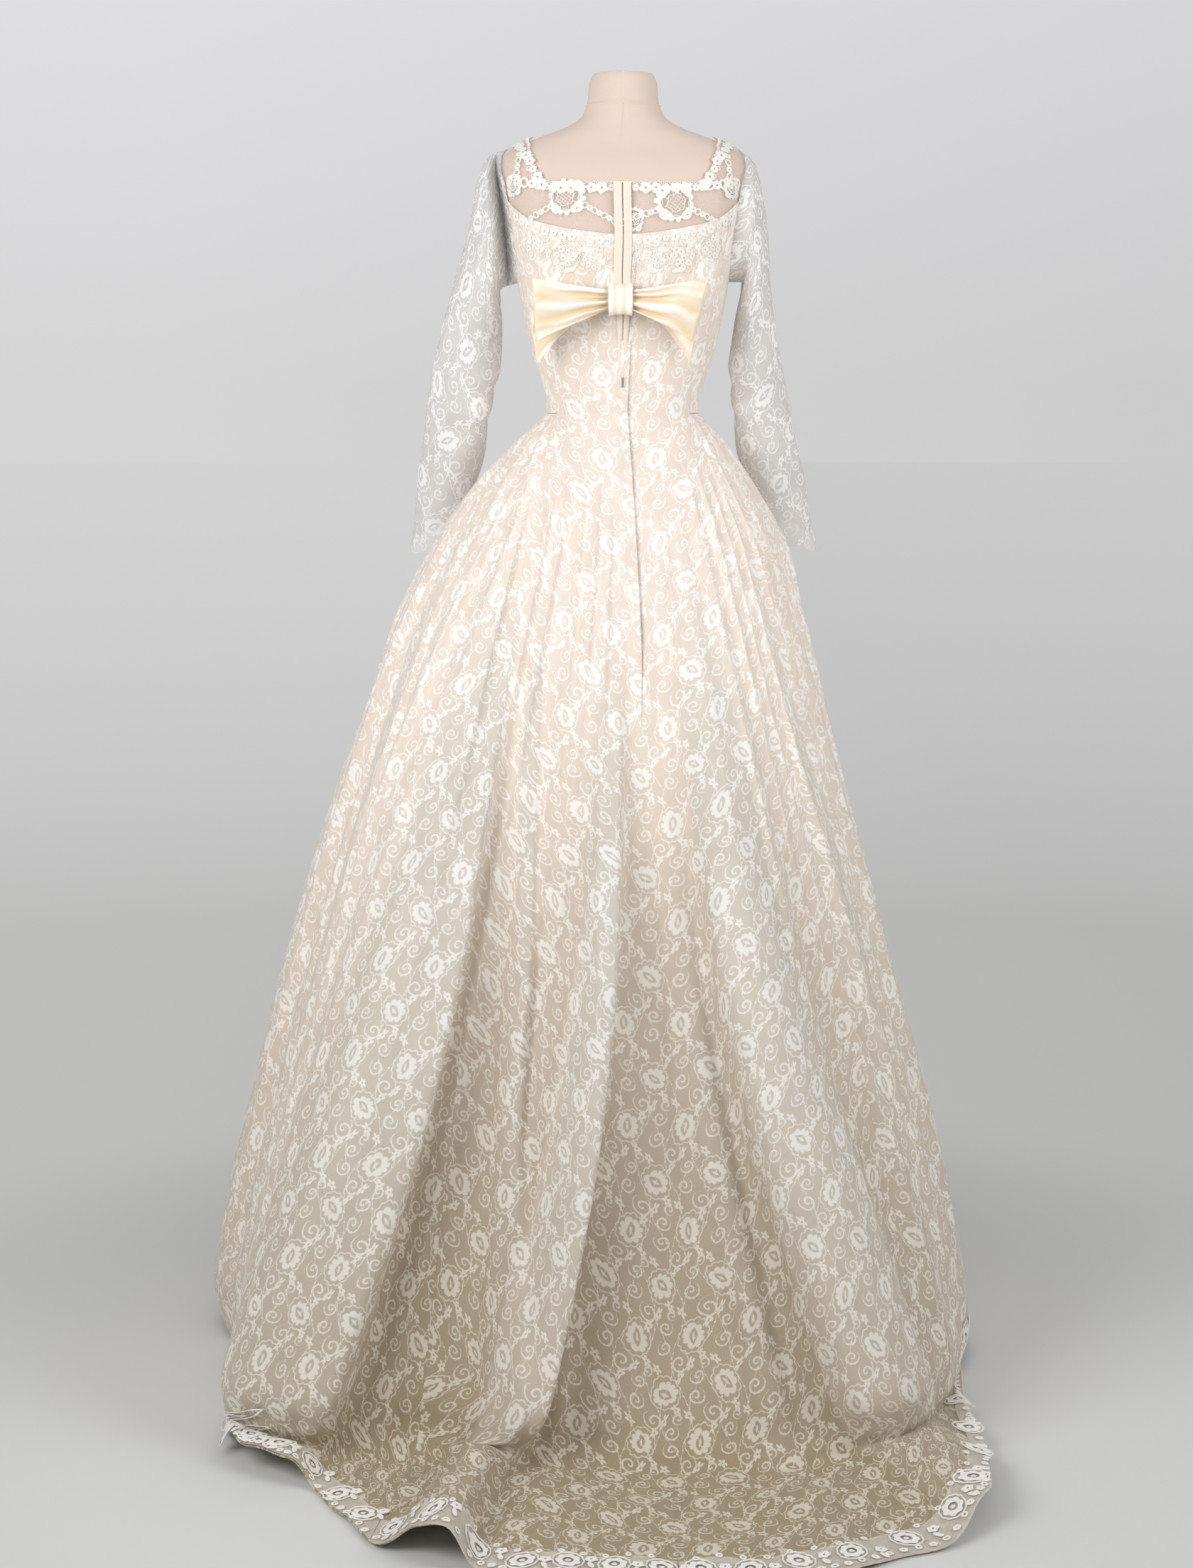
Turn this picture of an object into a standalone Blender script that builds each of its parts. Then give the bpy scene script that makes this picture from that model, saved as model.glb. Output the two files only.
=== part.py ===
# Long-sleeved lace wedding dress with a back bow and a train, on a limbless dress form and its stand.
# Metres, +Z up. The origin is the middle of the stand's underside, the back of the dress looks to -Y.
import math

import bmesh
import bpy
import numpy as np
from mathutils import Matrix

# Heights and walls that the rest is worked out from
WAIST_Z = 1.165
BODICE_OUT = 0.0026
BODICE_WALL = 0.0016
NET_OUT = 0.0020
NET_WALL = 0.0010
SKIRT_WALL = 0.0018
SLEEVE_WALL = 0.0012
TRIM_WALL = 0.0012
LAY_GAP = 0.0003
SEAM_GAP = 0.0005
SKIRT_SEAM_GAP = 0.0015
UNDERSKIRT_DROP = 0.0029

# Stand
POLE_RADIUS = 0.014
BASE_RADIUS = 0.17
BASE_HEIGHT = 0.012
FORM_BOTTOM = 0.86
FORM_OUT = -0.0014
FORM_RINGS = (0.860, 0.980, 1.080, 1.125, 1.165, 1.195, 1.230, 1.300, 1.365, 1.425,
              1.460, 1.482, 1.497, 1.512, 1.528, 1.550, 1.585, 1.590)
# Quarter turn of the form in degrees from the centre back or front; the cloth bends at these places too
FORM_QUARTER = np.array([0, 14, 26, 38, 48, 58, 66, 76, 90])

# Dress form: height, half width, reach to the back, reach to the front, squareness of the section
FORM_ROWS = [
    (0.860, 0.145, 0.092, 0.097, 2.2),
    (0.950, 0.152, 0.097, 0.105, 2.2),
    (1.050, 0.134, 0.092, 0.098, 2.2),
    (1.110, 0.108, 0.083, 0.088, 2.2),
    (1.165, 0.095, 0.079, 0.083, 2.2),
    (1.190, 0.097, 0.080, 0.086, 2.3),
    (1.238, 0.112, 0.086, 0.097, 2.5),
    (1.311, 0.128, 0.092, 0.113, 2.9),
    (1.361, 0.136, 0.095, 0.117, 3.2),
    (1.410, 0.1445, 0.096, 0.105, 3.4),
    (1.450, 0.151, 0.091, 0.086, 3.4),
    (1.478, 0.154, 0.078, 0.066, 3.2),
    (1.492, 0.148, 0.068, 0.056, 2.8),
    (1.503, 0.130, 0.061, 0.051, 2.5),
    (1.513, 0.104, 0.056, 0.048, 2.3),
    (1.524, 0.074, 0.051, 0.046, 2.1),
    (1.535, 0.056, 0.048, 0.045, 2.0),
    (1.552, 0.0475, 0.046, 0.044, 2.0),
    (1.585, 0.0415, 0.043, 0.041, 2.0),
    (1.590, 0.0385, 0.040, 0.038, 2.0),
]

# Neckline and satin edge: degrees from the centre back, height
NECK_EDGE = [(0, 1.449), (24, 1.449), (30, 1.453), (34, 1.466), (39, 1.483), (50, 1.497), (64, 1.504),
             (90, 1.510), (116, 1.504), (130, 1.496), (141, 1.480), (148, 1.466), (156, 1.460), (180, 1.459)]
SATIN_EDGE = [(0, 1.386), (17, 1.393), (44, 1.405), (60, 1.420), (70, 1.430),
              (110, 1.430), (122, 1.415), (140, 1.400), (180, 1.396)]
ARMHOLE_ANGLE = 21.0
ARMHOLE_Z = 1.413
ARMHOLE_HALF = 0.083
PRINCESS_ANGLE = 58.0
TRIM_START = 1.2
TRIM_LIFT = 0.0012
TRIM_SCALLOP = 0.06
TRIM_SCALLOPS = 36
YOKE_OPENING = 0.6
BODICE_ROWS = np.linspace(0, 1, 9)
YOKE_ROWS = (0, 0.35, 0.70, 0.85, 1)

# Skirt plan: name, degrees at the waist, where the cloth meets the floor (x, y), then the lying reach (x, y)
SKIRT_PLAN = [
    ("front centre", -180, -0.02, 0.370, 0.000, 0.00),
    ("front left", -140, -0.27, 0.300, 0.000, 0.00),
    ("side front left", -113, -0.46, 0.130, 0.000, 0.00),
    ("side left", -96, -0.515, -0.080, 0.000, 0.00),
    ("side back left", -84, -0.475, -0.300, 0.000, 0.00),
    ("left wing", -74, -0.430, -0.540, 0.000, -0.09),
    ("left wing edge", -66, -0.335, -0.600, -0.005, -0.10),
    ("left princess", -58, -0.240, -0.605, -0.030, -0.22),
    ("centre left", -30, -0.115, -0.630, -0.020, -0.28),
    ("centre back", 0, 0.050, -0.640, 0.000, -0.29),
    ("centre right", 28, 0.185, -0.630, 0.030, -0.27),
    ("right band", 46, 0.285, -0.585, 0.080, -0.22),
    ("right princess", 58, 0.335, -0.520, 0.060, -0.19),
    ("side back right", 74, 0.395, -0.360, 0.010, -0.06),
    ("side right", 93, 0.425, -0.080, 0.000, 0.00),
    ("side front right", 113, 0.370, 0.140, 0.000, 0.00),
    ("front right", 140, 0.240, 0.300, 0.000, 0.00),
]
# Fall of the skirt: share of its length, height, then how far it has spread at the left, right and back
SKIRT_FALL = [
    (0.00, 1.165, 0.00, 0.00, 0.000),
    (0.03, 1.130, 0.08, 0.08, 0.045),
    (0.07, 1.085, 0.19, 0.18, 0.100),
    (0.13, 1.020, 0.30, 0.29, 0.170),
    (0.22, 0.920, 0.43, 0.37, 0.265),
    (0.32, 0.800, 0.54, 0.46, 0.370),
    (0.45, 0.645, 0.66, 0.58, 0.495),
    (0.58, 0.490, 0.76, 0.69, 0.605),
    (0.70, 0.340, 0.85, 0.80, 0.710),
    (0.82, 0.190, 0.94, 0.90, 0.820),
    (0.90, 0.095, 0.98, 0.95, 0.890),
    (0.95, 0.045, 1.00, 0.98, 0.935),
    (0.98, 0.018, 1.00, 1.00, 0.970),
    (1.00, 0.0021, 1.00, 1.00, 1.000),
]
SKIRT_LENGTH = 1.27

# Skirt folds, in metres along the floor line from the centre-back seam (left is minus): the crest at
# the waist, the knee and the floor, its reach to the left and right, its rise, and its start as a share
SKIRT_FOLDS = [
    ("left wing", -0.27, -0.335, -0.415, 0.130, 0.046, 0.070, 0.14),
    ("left wing crease", -0.45, -0.44, -0.52, 0.030, 0.030, 0.010, 0.40),
    ("centre left panel", -0.12, -0.10, -0.10, 0.085, 0.085, 0.022, 0.02),
    ("narrow pleat", -0.25, -0.22, -0.20, 0.025, 0.025, 0.014, 0.14),
    ("centre left pipe", -0.03, -0.064, -0.175, 0.042, 0.036, 0.085, 0.22),
    ("right band", 0.13, 0.130, 0.250, 0.095, 0.095, 0.078, 0.12),
    ("right band ridge", 0.06, 0.055, 0.130, 0.025, 0.025, 0.014, 0.36),
    ("right side pipe", 0.42, 0.39, 0.41, 0.075, 0.070, 0.030, 0.10),
    ("right outer pipe", 0.62, 0.60, 0.60, 0.085, 0.085, 0.022, 0.06),
    ("left side pipe", -0.68, -0.68, -0.70, 0.085, 0.075, 0.014, 0.06),
    ("left outer pipe", -0.90, -0.90, -0.91, 0.080, 0.080, 0.018, 0.06),
    ("front pipe 1", -1.12, -1.12, -1.12, 0.070, 0.070, 0.024, 0.06),
    ("front pipe 2", -1.33, -1.33, -1.33, 0.075, 0.075, 0.020, 0.10),
    ("front pipe 3", 1.42, 1.42, 1.42, 0.070, 0.070, 0.022, 0.08),
    ("front pipe 4", 1.21, 1.21, 1.21, 0.070, 0.070, 0.026, 0.06),
    ("front pipe 5", 1.04, 1.04, 1.04, 0.075, 0.075, 0.020, 0.10),
    ("right front pipe", 0.87, 0.87, 0.87, 0.060, 0.060, 0.022, 0.06),
    ("lift over the satin hem", 0.50, 0.50, 0.50, 0.200, 0.200, 0.0075, 0.60),
]
FOLD_EDGE = 3.0
FOLD_BULGE = 0.22
FLOOR_RISE_SHARE = 0.45
HEM_SCALLOP = 0.007
HEM_SCALLOPS = 44
# The lace stops short of the satin at the right side of the back: where, half length and how much
HEM_GAP_AT = 0.50
HEM_GAP_HALF = 0.10
HEM_GAP = 0.030
SKIRT_ROWS = 18
# Columns of points in each skirt panel
CENTRE_LEFT_COLUMNS = 17
CENTRE_RIGHT_COLUMNS = 18
SIDE_LEFT_COLUMNS = 24
SIDE_RIGHT_COLUMNS = 22
FRONT_COLUMNS = 28
# Columns of the right side panel that the satin hem shows under,
UNDERSKIRT_COLUMNS = slice(2, 12)
GATHERS = 26
GATHER_RISE = 0.0035
GATHER_START = 0.30
GATHER_DOWN = 0.50

# Sleeves: outer seam (x, z), inner seam (x, z), middle y, half depth, each from shoulder to cuff
LEFT_SLEEVE = [
    (0.172, 1.486, 0.1555, 1.322, 0.000, 0.053),
    (0.183, 1.463, 0.1560, 1.308, 0.001, 0.053),
    (0.197, 1.395, 0.1550, 1.288, 0.003, 0.051),
    (0.216, 1.332, 0.1540, 1.258, 0.007, 0.047),
    (0.236, 1.262, 0.1605, 1.212, 0.018, 0.043),
    (0.251, 1.190, 0.1720, 1.158, 0.036, 0.040),
    (0.263, 1.120, 0.1840, 1.100, 0.062, 0.038),
    (0.272, 1.055, 0.1940, 1.045, 0.090, 0.036),
    (0.280, 1.006, 0.2010, 1.000, 0.114, 0.035),
]
RIGHT_SLEEVE = [
    (0.166, 1.482, 0.1530, 1.330, 0.000, 0.053),
    (0.175, 1.455, 0.1510, 1.318, 0.001, 0.053),
    (0.185, 1.390, 0.1475, 1.300, 0.003, 0.051),
    (0.190, 1.325, 0.1420, 1.272, 0.007, 0.047),
    (0.199, 1.262, 0.1380, 1.225, 0.018, 0.043),
    (0.212, 1.195, 0.1420, 1.172, 0.036, 0.040),
    (0.229, 1.125, 0.1530, 1.110, 0.062, 0.038),
    (0.245, 1.058, 0.1690, 1.050, 0.090, 0.036),
    (0.256, 1.010, 0.1790, 1.004, 0.114, 0.035),
]
CUFF_POINT = 0.024
SLEEVE_SIDES = 16

# Bow: middle of the knot, then each loop's outer corners as (x, z) seen from behind
BOW_X = -0.004
BOW_Z = 1.306
KNOT_HALF_WIDTH = 0.0145
KNOT_HALF_HEIGHT = 0.0190
KNOT_DEPTH = 0.0260
BOW_WALL = 0.0014
KNOT_SQUARE = 4.0
KNOT_GAP = 0.0006
KNOT_PINCH = 0.08
LOOP_COLUMNS = 17
LOOP_ROWS = 5
# Loop: side, top and bottom corner (x, z), half height, front and back depth at the knot, puff,
# rise of the lower edge, lift of the outer end off the back
BOW_LOOPS = [
    ("bow_upper_left", -1, (0.110, 1.331), (0.105, 1.254), 0.0105, 0.0150, 0.0046, 0.022, 0.000, 0.010),
    ("bow_upper_right", 1, (0.109, 1.331), (0.089, 1.255), 0.0105, 0.0150, 0.0046, 0.022, 0.000, 0.010),
    ("bow_lower_left", -1, (0.113, 1.290), (0.104, 1.227), 0.0090, 0.0041, 0.0003, 0.006, 0.014, -0.008),
    ("bow_lower_right", 1, (0.098, 1.290), (0.087, 1.228), 0.0090, 0.0041, 0.0003, 0.006, 0.014, -0.008),
]

# Zip placket: half width of each satin strip and the slit between them
PLACKET_WIDTH = 0.0125
SLIT_HALF = 0.0008
PLACKET_BOTTOM = 1.190
PLACKET_LIFT = 0.0006
SLIDER_Z = 1.205
SLIDER_SIZE = (0.005, 0.0024, 0.012)
SLIDER_LIFT = 0.0011

LINEN = (0.80, 0.68, 0.58)
IVORY_SATIN = (0.93, 0.85, 0.74)
IVORY_LACE = (0.90, 0.85, 0.78)
WHITE_NET = (0.93, 0.90, 0.86)
STEEL = (0.55, 0.56, 0.58)


def clear_scene():
    for thing in list(bpy.data.objects):
        bpy.data.objects.remove(thing, do_unlink=True)


def material(name, colour, roughness, metallic=0.0):
    made = bpy.data.materials.new(name)
    made.use_nodes = True
    shader = made.node_tree.nodes["Principled BSDF"]
    shader.inputs["Base Color"].default_value = (*colour, 1.0)
    shader.inputs["Roughness"].default_value = roughness
    shader.inputs["Metallic"].default_value = metallic
    return made


def smooth(places, values, at):
    """Cubic curve through values at rising places, read at the array 'at'."""
    places = np.asarray(places, float)
    values = np.asarray(values, float)
    slope = np.gradient(values, places)
    at = np.clip(at, places[0], places[-1])
    left = np.clip(np.searchsorted(places, at, side="right") - 1, 0, len(places) - 2)
    step = places[left + 1] - places[left]
    share = (at - places[left]) / step
    start = values[left]
    end = values[left + 1]
    ease = share * share * (3 - 2 * share)
    bend = share * (1 - share) ** 2 * slope[left] - share * share * (1 - share) * slope[left + 1]
    return start + (end - start) * ease + step * bend


def straight(rows, at):
    """Straight lines through (place, value) rows."""
    return np.interp(at, [row[0] for row in rows], [row[1] for row in rows])


def form_point(angle, height):
    """Superellipse section of the form at a height; the angle runs from the centre back to +X."""
    heights = [row[0] for row in FORM_ROWS]
    columns = list(zip(*FORM_ROWS))[1:]
    half, back, front, square = (smooth(heights, column, height) for column in columns)
    sine = np.sin(angle)
    cosine = np.cos(angle)
    reach = np.where(cosine > 0, back, front)
    x = half * np.sign(sine) * np.abs(sine) ** (2 / square)
    y = -reach * np.sign(cosine) * np.abs(cosine) ** (2 / square)
    return np.stack([x, y, height + 0 * x], axis=-1)


def on_form(angle, height, out):
    """Form point moved out along the form's own normal."""
    angle, height = np.broadcast_arrays(np.asarray(angle, float), np.asarray(height, float))
    turn = 0.012
    rise = 0.0012
    along = form_point(angle + turn, height) - form_point(angle - turn, height)
    up = form_point(angle, height + rise) - form_point(angle, height - rise)
    normal = np.cross(along, up)
    normal /= np.linalg.norm(normal, axis=-1, keepdims=True)
    return form_point(angle, height) + normal * out


def grid_mesh(name, points, around=False, along=False):
    """Quads over a rows x columns x 3 grid; 'around' closes the columns, 'along' the rows."""
    rows, columns = points.shape[:2]
    corner = np.arange(rows * columns).reshape(rows, columns)
    if around:
        corner = np.concatenate([corner, corner[:, :1]], axis=1)
    if along:
        corner = np.concatenate([corner, corner[:1]], axis=0)
    quads = np.stack([corner[:-1, :-1], corner[:-1, 1:], corner[1:, 1:], corner[1:, :-1]], axis=-1)
    mesh = bpy.data.meshes.new(name)
    mesh.from_pydata(points.reshape(-1, 3).tolist(), [], quads.reshape(-1, 4).tolist())
    mesh.validate()
    return mesh


def place(name, mesh, look, group):
    made = bpy.data.objects.new(name, mesh)
    made.data.materials.append(look)
    made.data.shade_smooth()
    group.objects.link(made)
    return made


def cloth(name, points, wall, look, group, around=False, along=False):
    """Open sheet of cloth with its outer face on the points and its wall inward."""
    made = place(name, grid_mesh(name, points, around, along), look, group)
    shell = made.modifiers.new("wall", "SOLIDIFY")
    shell.thickness = wall
    shell.offset = -1.0
    return made


def pull_in(points, gap):
    """Draws the first and last column in along the cloth, which leaves the seam gap."""
    points = points.copy()
    for edge, inner in ((0, 1), (-1, -2)):
        step = points[:, inner] - points[:, edge]
        length = np.linalg.norm(step, axis=-1, keepdims=True)
        points[:, edge] += step / np.maximum(length, 1e-6) * gap / 2
    return points


def armhole(angle, side):
    """Height of the armhole's upper (side 1) or lower (side -1) edge at an angle, in degrees."""
    share = 1 - ((np.abs(angle) - 90) / ARMHOLE_ANGLE) ** 2
    edge = ARMHOLE_Z + side * ARMHOLE_HALF * np.sqrt(np.clip(share, 0, 1))
    return np.where(share > 0, edge, -side * 9.0)


def bodice_top(angle):
    return np.minimum(straight(SATIN_EDGE, np.abs(angle)), armhole(angle, -1))


def yoke_bottom(angle):
    return np.maximum(straight(SATIN_EDGE, np.abs(angle)), armhole(angle, 1)) + 2 * SEAM_GAP


def form_patch(angles, low, high, rows, out):
    """Points between two height lines on the form, one row for each share of the way up."""
    share = np.asarray(rows, float)[:, None]
    height = low[None, :] + (high - low)[None, :] * share
    return on_form(np.radians(angles)[None, :], height, out)


def plan_places():
    """Floor distances of the plan's rows, zero at the centre back, and the whole way round."""
    spots = np.array([row[2:4] for row in SKIRT_PLAN])
    steps = np.linalg.norm(np.roll(spots, -1, axis=0) - spots, axis=1)
    places = np.concatenate([[0], np.cumsum(steps)])
    middle = [row[0] for row in SKIRT_PLAN].index("centre back")
    return places[:-1] - places[middle], places[-1]


def plan_value(column, at):
    """Value of a plan column at floor distances 'at', carried round the skirt."""
    places, whole = plan_places()
    values = np.array([row[column] for row in SKIRT_PLAN], float)
    turn = 360 if column == 1 else 0
    places = np.concatenate([places - whole, places, places + whole])
    values = np.concatenate([values - turn, values, values + turn])
    return smooth(places, values, at)


def skirt_reach(at):
    """How much longer than the hanging skirt the cloth is at a floor distance."""
    lying = np.hypot(plan_value(4, at), plan_value(5, at))
    return 1 + lying / SKIRT_LENGTH


def skirt_base(at, down):
    """Unfolded skirt: at the floor distance 'at', 'down' its length (1 where it meets the floor)."""
    waist_angle = np.radians(plan_value(1, at))
    waist = on_form(waist_angle, np.full_like(waist_angle, WAIST_Z), BODICE_OUT)
    floor = np.stack([plan_value(2, at), plan_value(3, at)], axis=-1)
    lying = np.stack([plan_value(4, at), plan_value(5, at)], axis=-1)
    shares = [row[0] for row in SKIRT_FALL]
    hanging = np.minimum(down, 1)
    columns = list(zip(*SKIRT_FALL))[1:]
    height, left, right, back = (smooth(shares, column, hanging) for column in columns)
    rightness = 0.5 + 0.5 * np.sin(waist_angle)
    side = left + (right - left) * rightness
    backness = np.clip(np.cos(waist_angle), 0, 1) ** 0.7
    spread = side + (back - side) * backness
    flat = waist[..., :2] + (floor - waist[..., :2]) * spread[..., None]
    length = np.hypot(lying[..., 0], lying[..., 1])[..., None] + 1e-9
    flat = flat + lying / length * (np.maximum(down - 1, 0) * SKIRT_LENGTH)[..., None]
    return np.concatenate([flat, height[..., None]], axis=-1)


def fold_offsets(at, down):
    """Rise and sideways bulge of all folds together, in metres, at the floor distances."""
    _, whole = plan_places()
    rise = np.zeros_like(at)
    bulge = np.zeros_like(at)
    for _, waist, knee, floor, left, right, height, start in SKIRT_FOLDS:
        crest = smooth([0, 0.5, 1.0, 1.3], [waist, knee, floor, floor + 0.3 * (floor - knee)], down)
        away = (at - crest + whole / 2) % whole - whole / 2
        share = np.where(away < 0, away / left, away / right)
        shape = np.exp(-np.abs(share) ** FOLD_EDGE)
        grown = np.clip((down - start) / (0.75 - start), 0, 1)
        grown = grown * grown * (3 - 2 * grown)
        rise += height * grown * shape
        bulge += FOLD_BULGE * away * shape * grown * height / 0.06
    gathered = np.clip(1 - down / GATHER_DOWN, 0, 1) * np.clip(down / 0.03, 0, 1)
    away = np.abs((at + whole / 2) % whole - whole / 2)
    aside = np.clip((away - GATHER_START) / 0.12, 0, 1)
    rise += GATHER_RISE * gathered * aside * (1 + np.cos(2 * np.pi * GATHERS * at / whole))
    return rise, bulge


def skirt_point(at, down):
    """Folded skirt: each fold stands out from the base, and up where the cloth lies on the floor."""
    at, down = np.broadcast_arrays(np.asarray(at, float), np.asarray(down, float))
    rise, bulge = fold_offsets(at, down)
    small = 0.004
    spot = skirt_base(at, down)
    along = skirt_base(at + small, down) - skirt_base(at - small, down)
    flat_along = along[..., :2] / np.linalg.norm(along[..., :2], axis=-1, keepdims=True)
    outward = np.stack([flat_along[..., 1], -flat_along[..., 0]], axis=-1)
    lie = np.clip((down - 0.93) / 0.09, 0, 1)
    lie = lie * lie * (3 - 2 * lie)
    local = np.linalg.norm(along[..., :2], axis=-1) / (2 * small)
    step = rise * (1 - lie)
    spot[..., :2] += outward * step[..., None] + flat_along * (bulge * local * (1 - lie))[..., None]
    spot[..., 2] += rise * FLOOR_RISE_SHARE * lie
    return spot


def lace_rows(at):
    """How far down each row of the lace lies at the floor distances, with the hem's scallops."""
    down = np.linspace(0, 1, SKIRT_ROWS)[:, None] * skirt_reach(at)
    wave = 0.5 - 0.5 * np.cos(2 * np.pi * HEM_SCALLOPS * at / plan_places()[1])
    short = HEM_GAP * np.exp(-((at - HEM_GAP_AT) / HEM_GAP_HALF) ** 4)
    down[-1:] -= HEM_SCALLOP * wave + short
    return down


def skirt_panel(edges, columns):
    """Points of a skirt panel between two floor distances, hem first."""
    at = np.linspace(edges[0], edges[1], columns)[None, :]
    return skirt_point(at, lace_rows(at)[::-1])


def moved_out(points, distance):
    """The grid moved along its own normals; the grid runs hem first, then left to right."""
    across = np.gradient(points, axis=1)
    up = np.gradient(points, axis=0)
    normal = np.cross(across, up)
    normal /= np.linalg.norm(normal, axis=-1, keepdims=True)
    return points + normal * distance


def build_form(group, linen, steel):
    heights = np.array(FORM_RINGS)
    half = np.concatenate([FORM_QUARTER, 180 - FORM_QUARTER[-2::-1]])
    angles = np.radians(np.concatenate([half, 360 - half[-2:0:-1]]))
    points = on_form(angles[None, :], heights[:, None], FORM_OUT)
    mesh = grid_mesh("form_torso", points, around=True)
    body = bmesh.new()
    body.from_mesh(mesh)
    bmesh.ops.holes_fill(body, edges=[edge for edge in body.edges if edge.is_boundary])
    bmesh.ops.recalc_face_normals(body, faces=body.faces)
    body.to_mesh(mesh)
    body.free()
    place("form_torso", mesh, linen, group)
    pole_height = FORM_BOTTOM - BASE_HEIGHT - 2 * LAY_GAP
    bpy.ops.mesh.primitive_cylinder_add(vertices=16, radius=POLE_RADIUS, depth=pole_height,
                                        location=(0, 0, BASE_HEIGHT + LAY_GAP + pole_height / 2))
    adopt("form_pole", steel, group)
    bpy.ops.mesh.primitive_cylinder_add(vertices=36, radius=BASE_RADIUS, depth=BASE_HEIGHT,
                                        location=(0, 0, BASE_HEIGHT / 2))
    base = adopt("form_base", steel, group)
    edge = base.modifiers.new("edge", "BEVEL")
    edge.width = 0.003
    edge.segments = 1


def adopt(name, look, group):
    made = bpy.context.object
    made.name = name
    made.data.name = name
    made.data.materials.append(look)
    for other in list(made.users_collection):
        other.objects.unlink(made)
    group.objects.link(made)
    return made


def build_bodice(group, lace):
    side_angles = {
        "bodice_side_left": -np.array([90, 83, 76, 71, 69.2, 66, PRINCESS_ANGLE]),
        "bodice_side_right": np.array([PRINCESS_ANGLE, 66, 69.2, 71, 76, 83, 90]),
    }
    for name, angles in side_angles.items():
        low = np.full(len(angles), WAIST_Z + SEAM_GAP)
        points = form_patch(angles, low, bodice_top(angles), BODICE_ROWS, BODICE_OUT)
        cloth(name, pull_in(points, SEAM_GAP), BODICE_WALL, lace, group)
    half = np.array([90, 97, 104, 109, 110.8, 114, 122, 127, 132, 137, 142, 148, 154, 166, 180])
    front = np.concatenate([half, 360 - half[-2::-1]])
    folded = np.where(front > 180, 360 - front, front)
    low = np.full(len(front), WAIST_Z + SEAM_GAP)
    points = form_patch(front, low, bodice_top(folded), BODICE_ROWS, BODICE_OUT)
    cloth("bodice_front", pull_in(points, SEAM_GAP), BODICE_WALL, lace, group)


YOKE_ANGLES = np.array([0, 14, 20, 26, 30, 34, 38, 43, 48, 53, 58, 66, 69.2, 71, 76, 83, 90])


def build_yoke(group, net):
    for name, side in (("yoke_back_left", -1), ("yoke_back_right", 1)):
        angles = np.sort(side * YOKE_ANGLES)
        opened = angles + np.where(np.abs(angles) < 1, side * YOKE_OPENING, 0)
        neck = straight(NECK_EDGE, np.abs(angles))
        points = form_patch(opened, yoke_bottom(angles), neck, YOKE_ROWS, NET_OUT)
        cloth(name, pull_in(points, SEAM_GAP), NET_WALL, net, group)
    right = 180 - YOKE_ANGLES[::-1]
    front = np.concatenate([right, 360 - right[:-1][::-1]])
    folded = np.where(front > 180, 360 - front, front)
    points = form_patch(front, yoke_bottom(folded), straight(NECK_EDGE, folded), YOKE_ROWS, NET_OUT)
    cloth("yoke_front", pull_in(points, SEAM_GAP), NET_WALL, net, group)


def build_neck_trim(group, lace):
    """Scalloped lace edging round the neckline, open at the placket."""
    half = np.concatenate([[TRIM_START], YOKE_ANGLES[1:], 180 - YOKE_ANGLES[-2::-1]])
    angles = np.concatenate([half, 360 - half[-2::-1]])
    folded = np.where(angles > 180, 360 - angles, angles)
    low = yoke_bottom(folded)
    high = straight(NECK_EDGE, folded)
    scallop = YOKE_ROWS[2] + TRIM_SCALLOP * np.abs(np.sin(np.radians(angles) * TRIM_SCALLOPS / 2))
    edges = np.stack([scallop, np.full_like(scallop, YOKE_ROWS[3]), np.ones_like(scallop)])
    out = NET_OUT + TRIM_LIFT + TRIM_WALL
    points = on_form(np.radians(angles)[None, :], low + (high - low) * edges, out)
    cloth("neckline_trim", points, TRIM_WALL, lace, group)


def build_placket(group, satin, steel):
    """Two satin strips down the centre back, and the zip's slider at their foot."""
    heights = np.linspace(PLACKET_BOTTOM, 1.4485, 9)
    for name, side in (("placket_left", -1), ("placket_right", 1)):
        reach = np.sort(side * np.array([SLIT_HALF, PLACKET_WIDTH]))
        across = np.linspace(reach[0], reach[1], 3) - 0.001
        rows = list(zip(*FORM_ROWS))
        half = smooth(rows[0], rows[1], heights)[:, None]
        square = smooth(rows[0], rows[4], heights)[:, None]
        angle = np.arcsin((np.abs(across)[None, :] / half) ** (square / 2)) * np.sign(across)[None, :]
        points = on_form(angle, heights[:, None], BODICE_OUT + PLACKET_LIFT + TRIM_WALL)
        cloth(name, points, TRIM_WALL, satin, group)
    slider_out = BODICE_OUT + PLACKET_LIFT + TRIM_WALL + SLIDER_LIFT + SLIDER_SIZE[1] / 2
    spot = on_form(np.zeros(1), np.array([SLIDER_Z]), slider_out)[0]
    bpy.ops.mesh.primitive_cube_add(size=1.0, location=(spot[0] - 0.001, spot[1], spot[2]))
    slider = adopt("zip_slider", steel, group)
    slider.data.transform(Matrix.Diagonal((*SLIDER_SIZE, 1.0)))
    edge = slider.modifiers.new("edge", "BEVEL")
    edge.width = 0.0007
    edge.segments = 2


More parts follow.
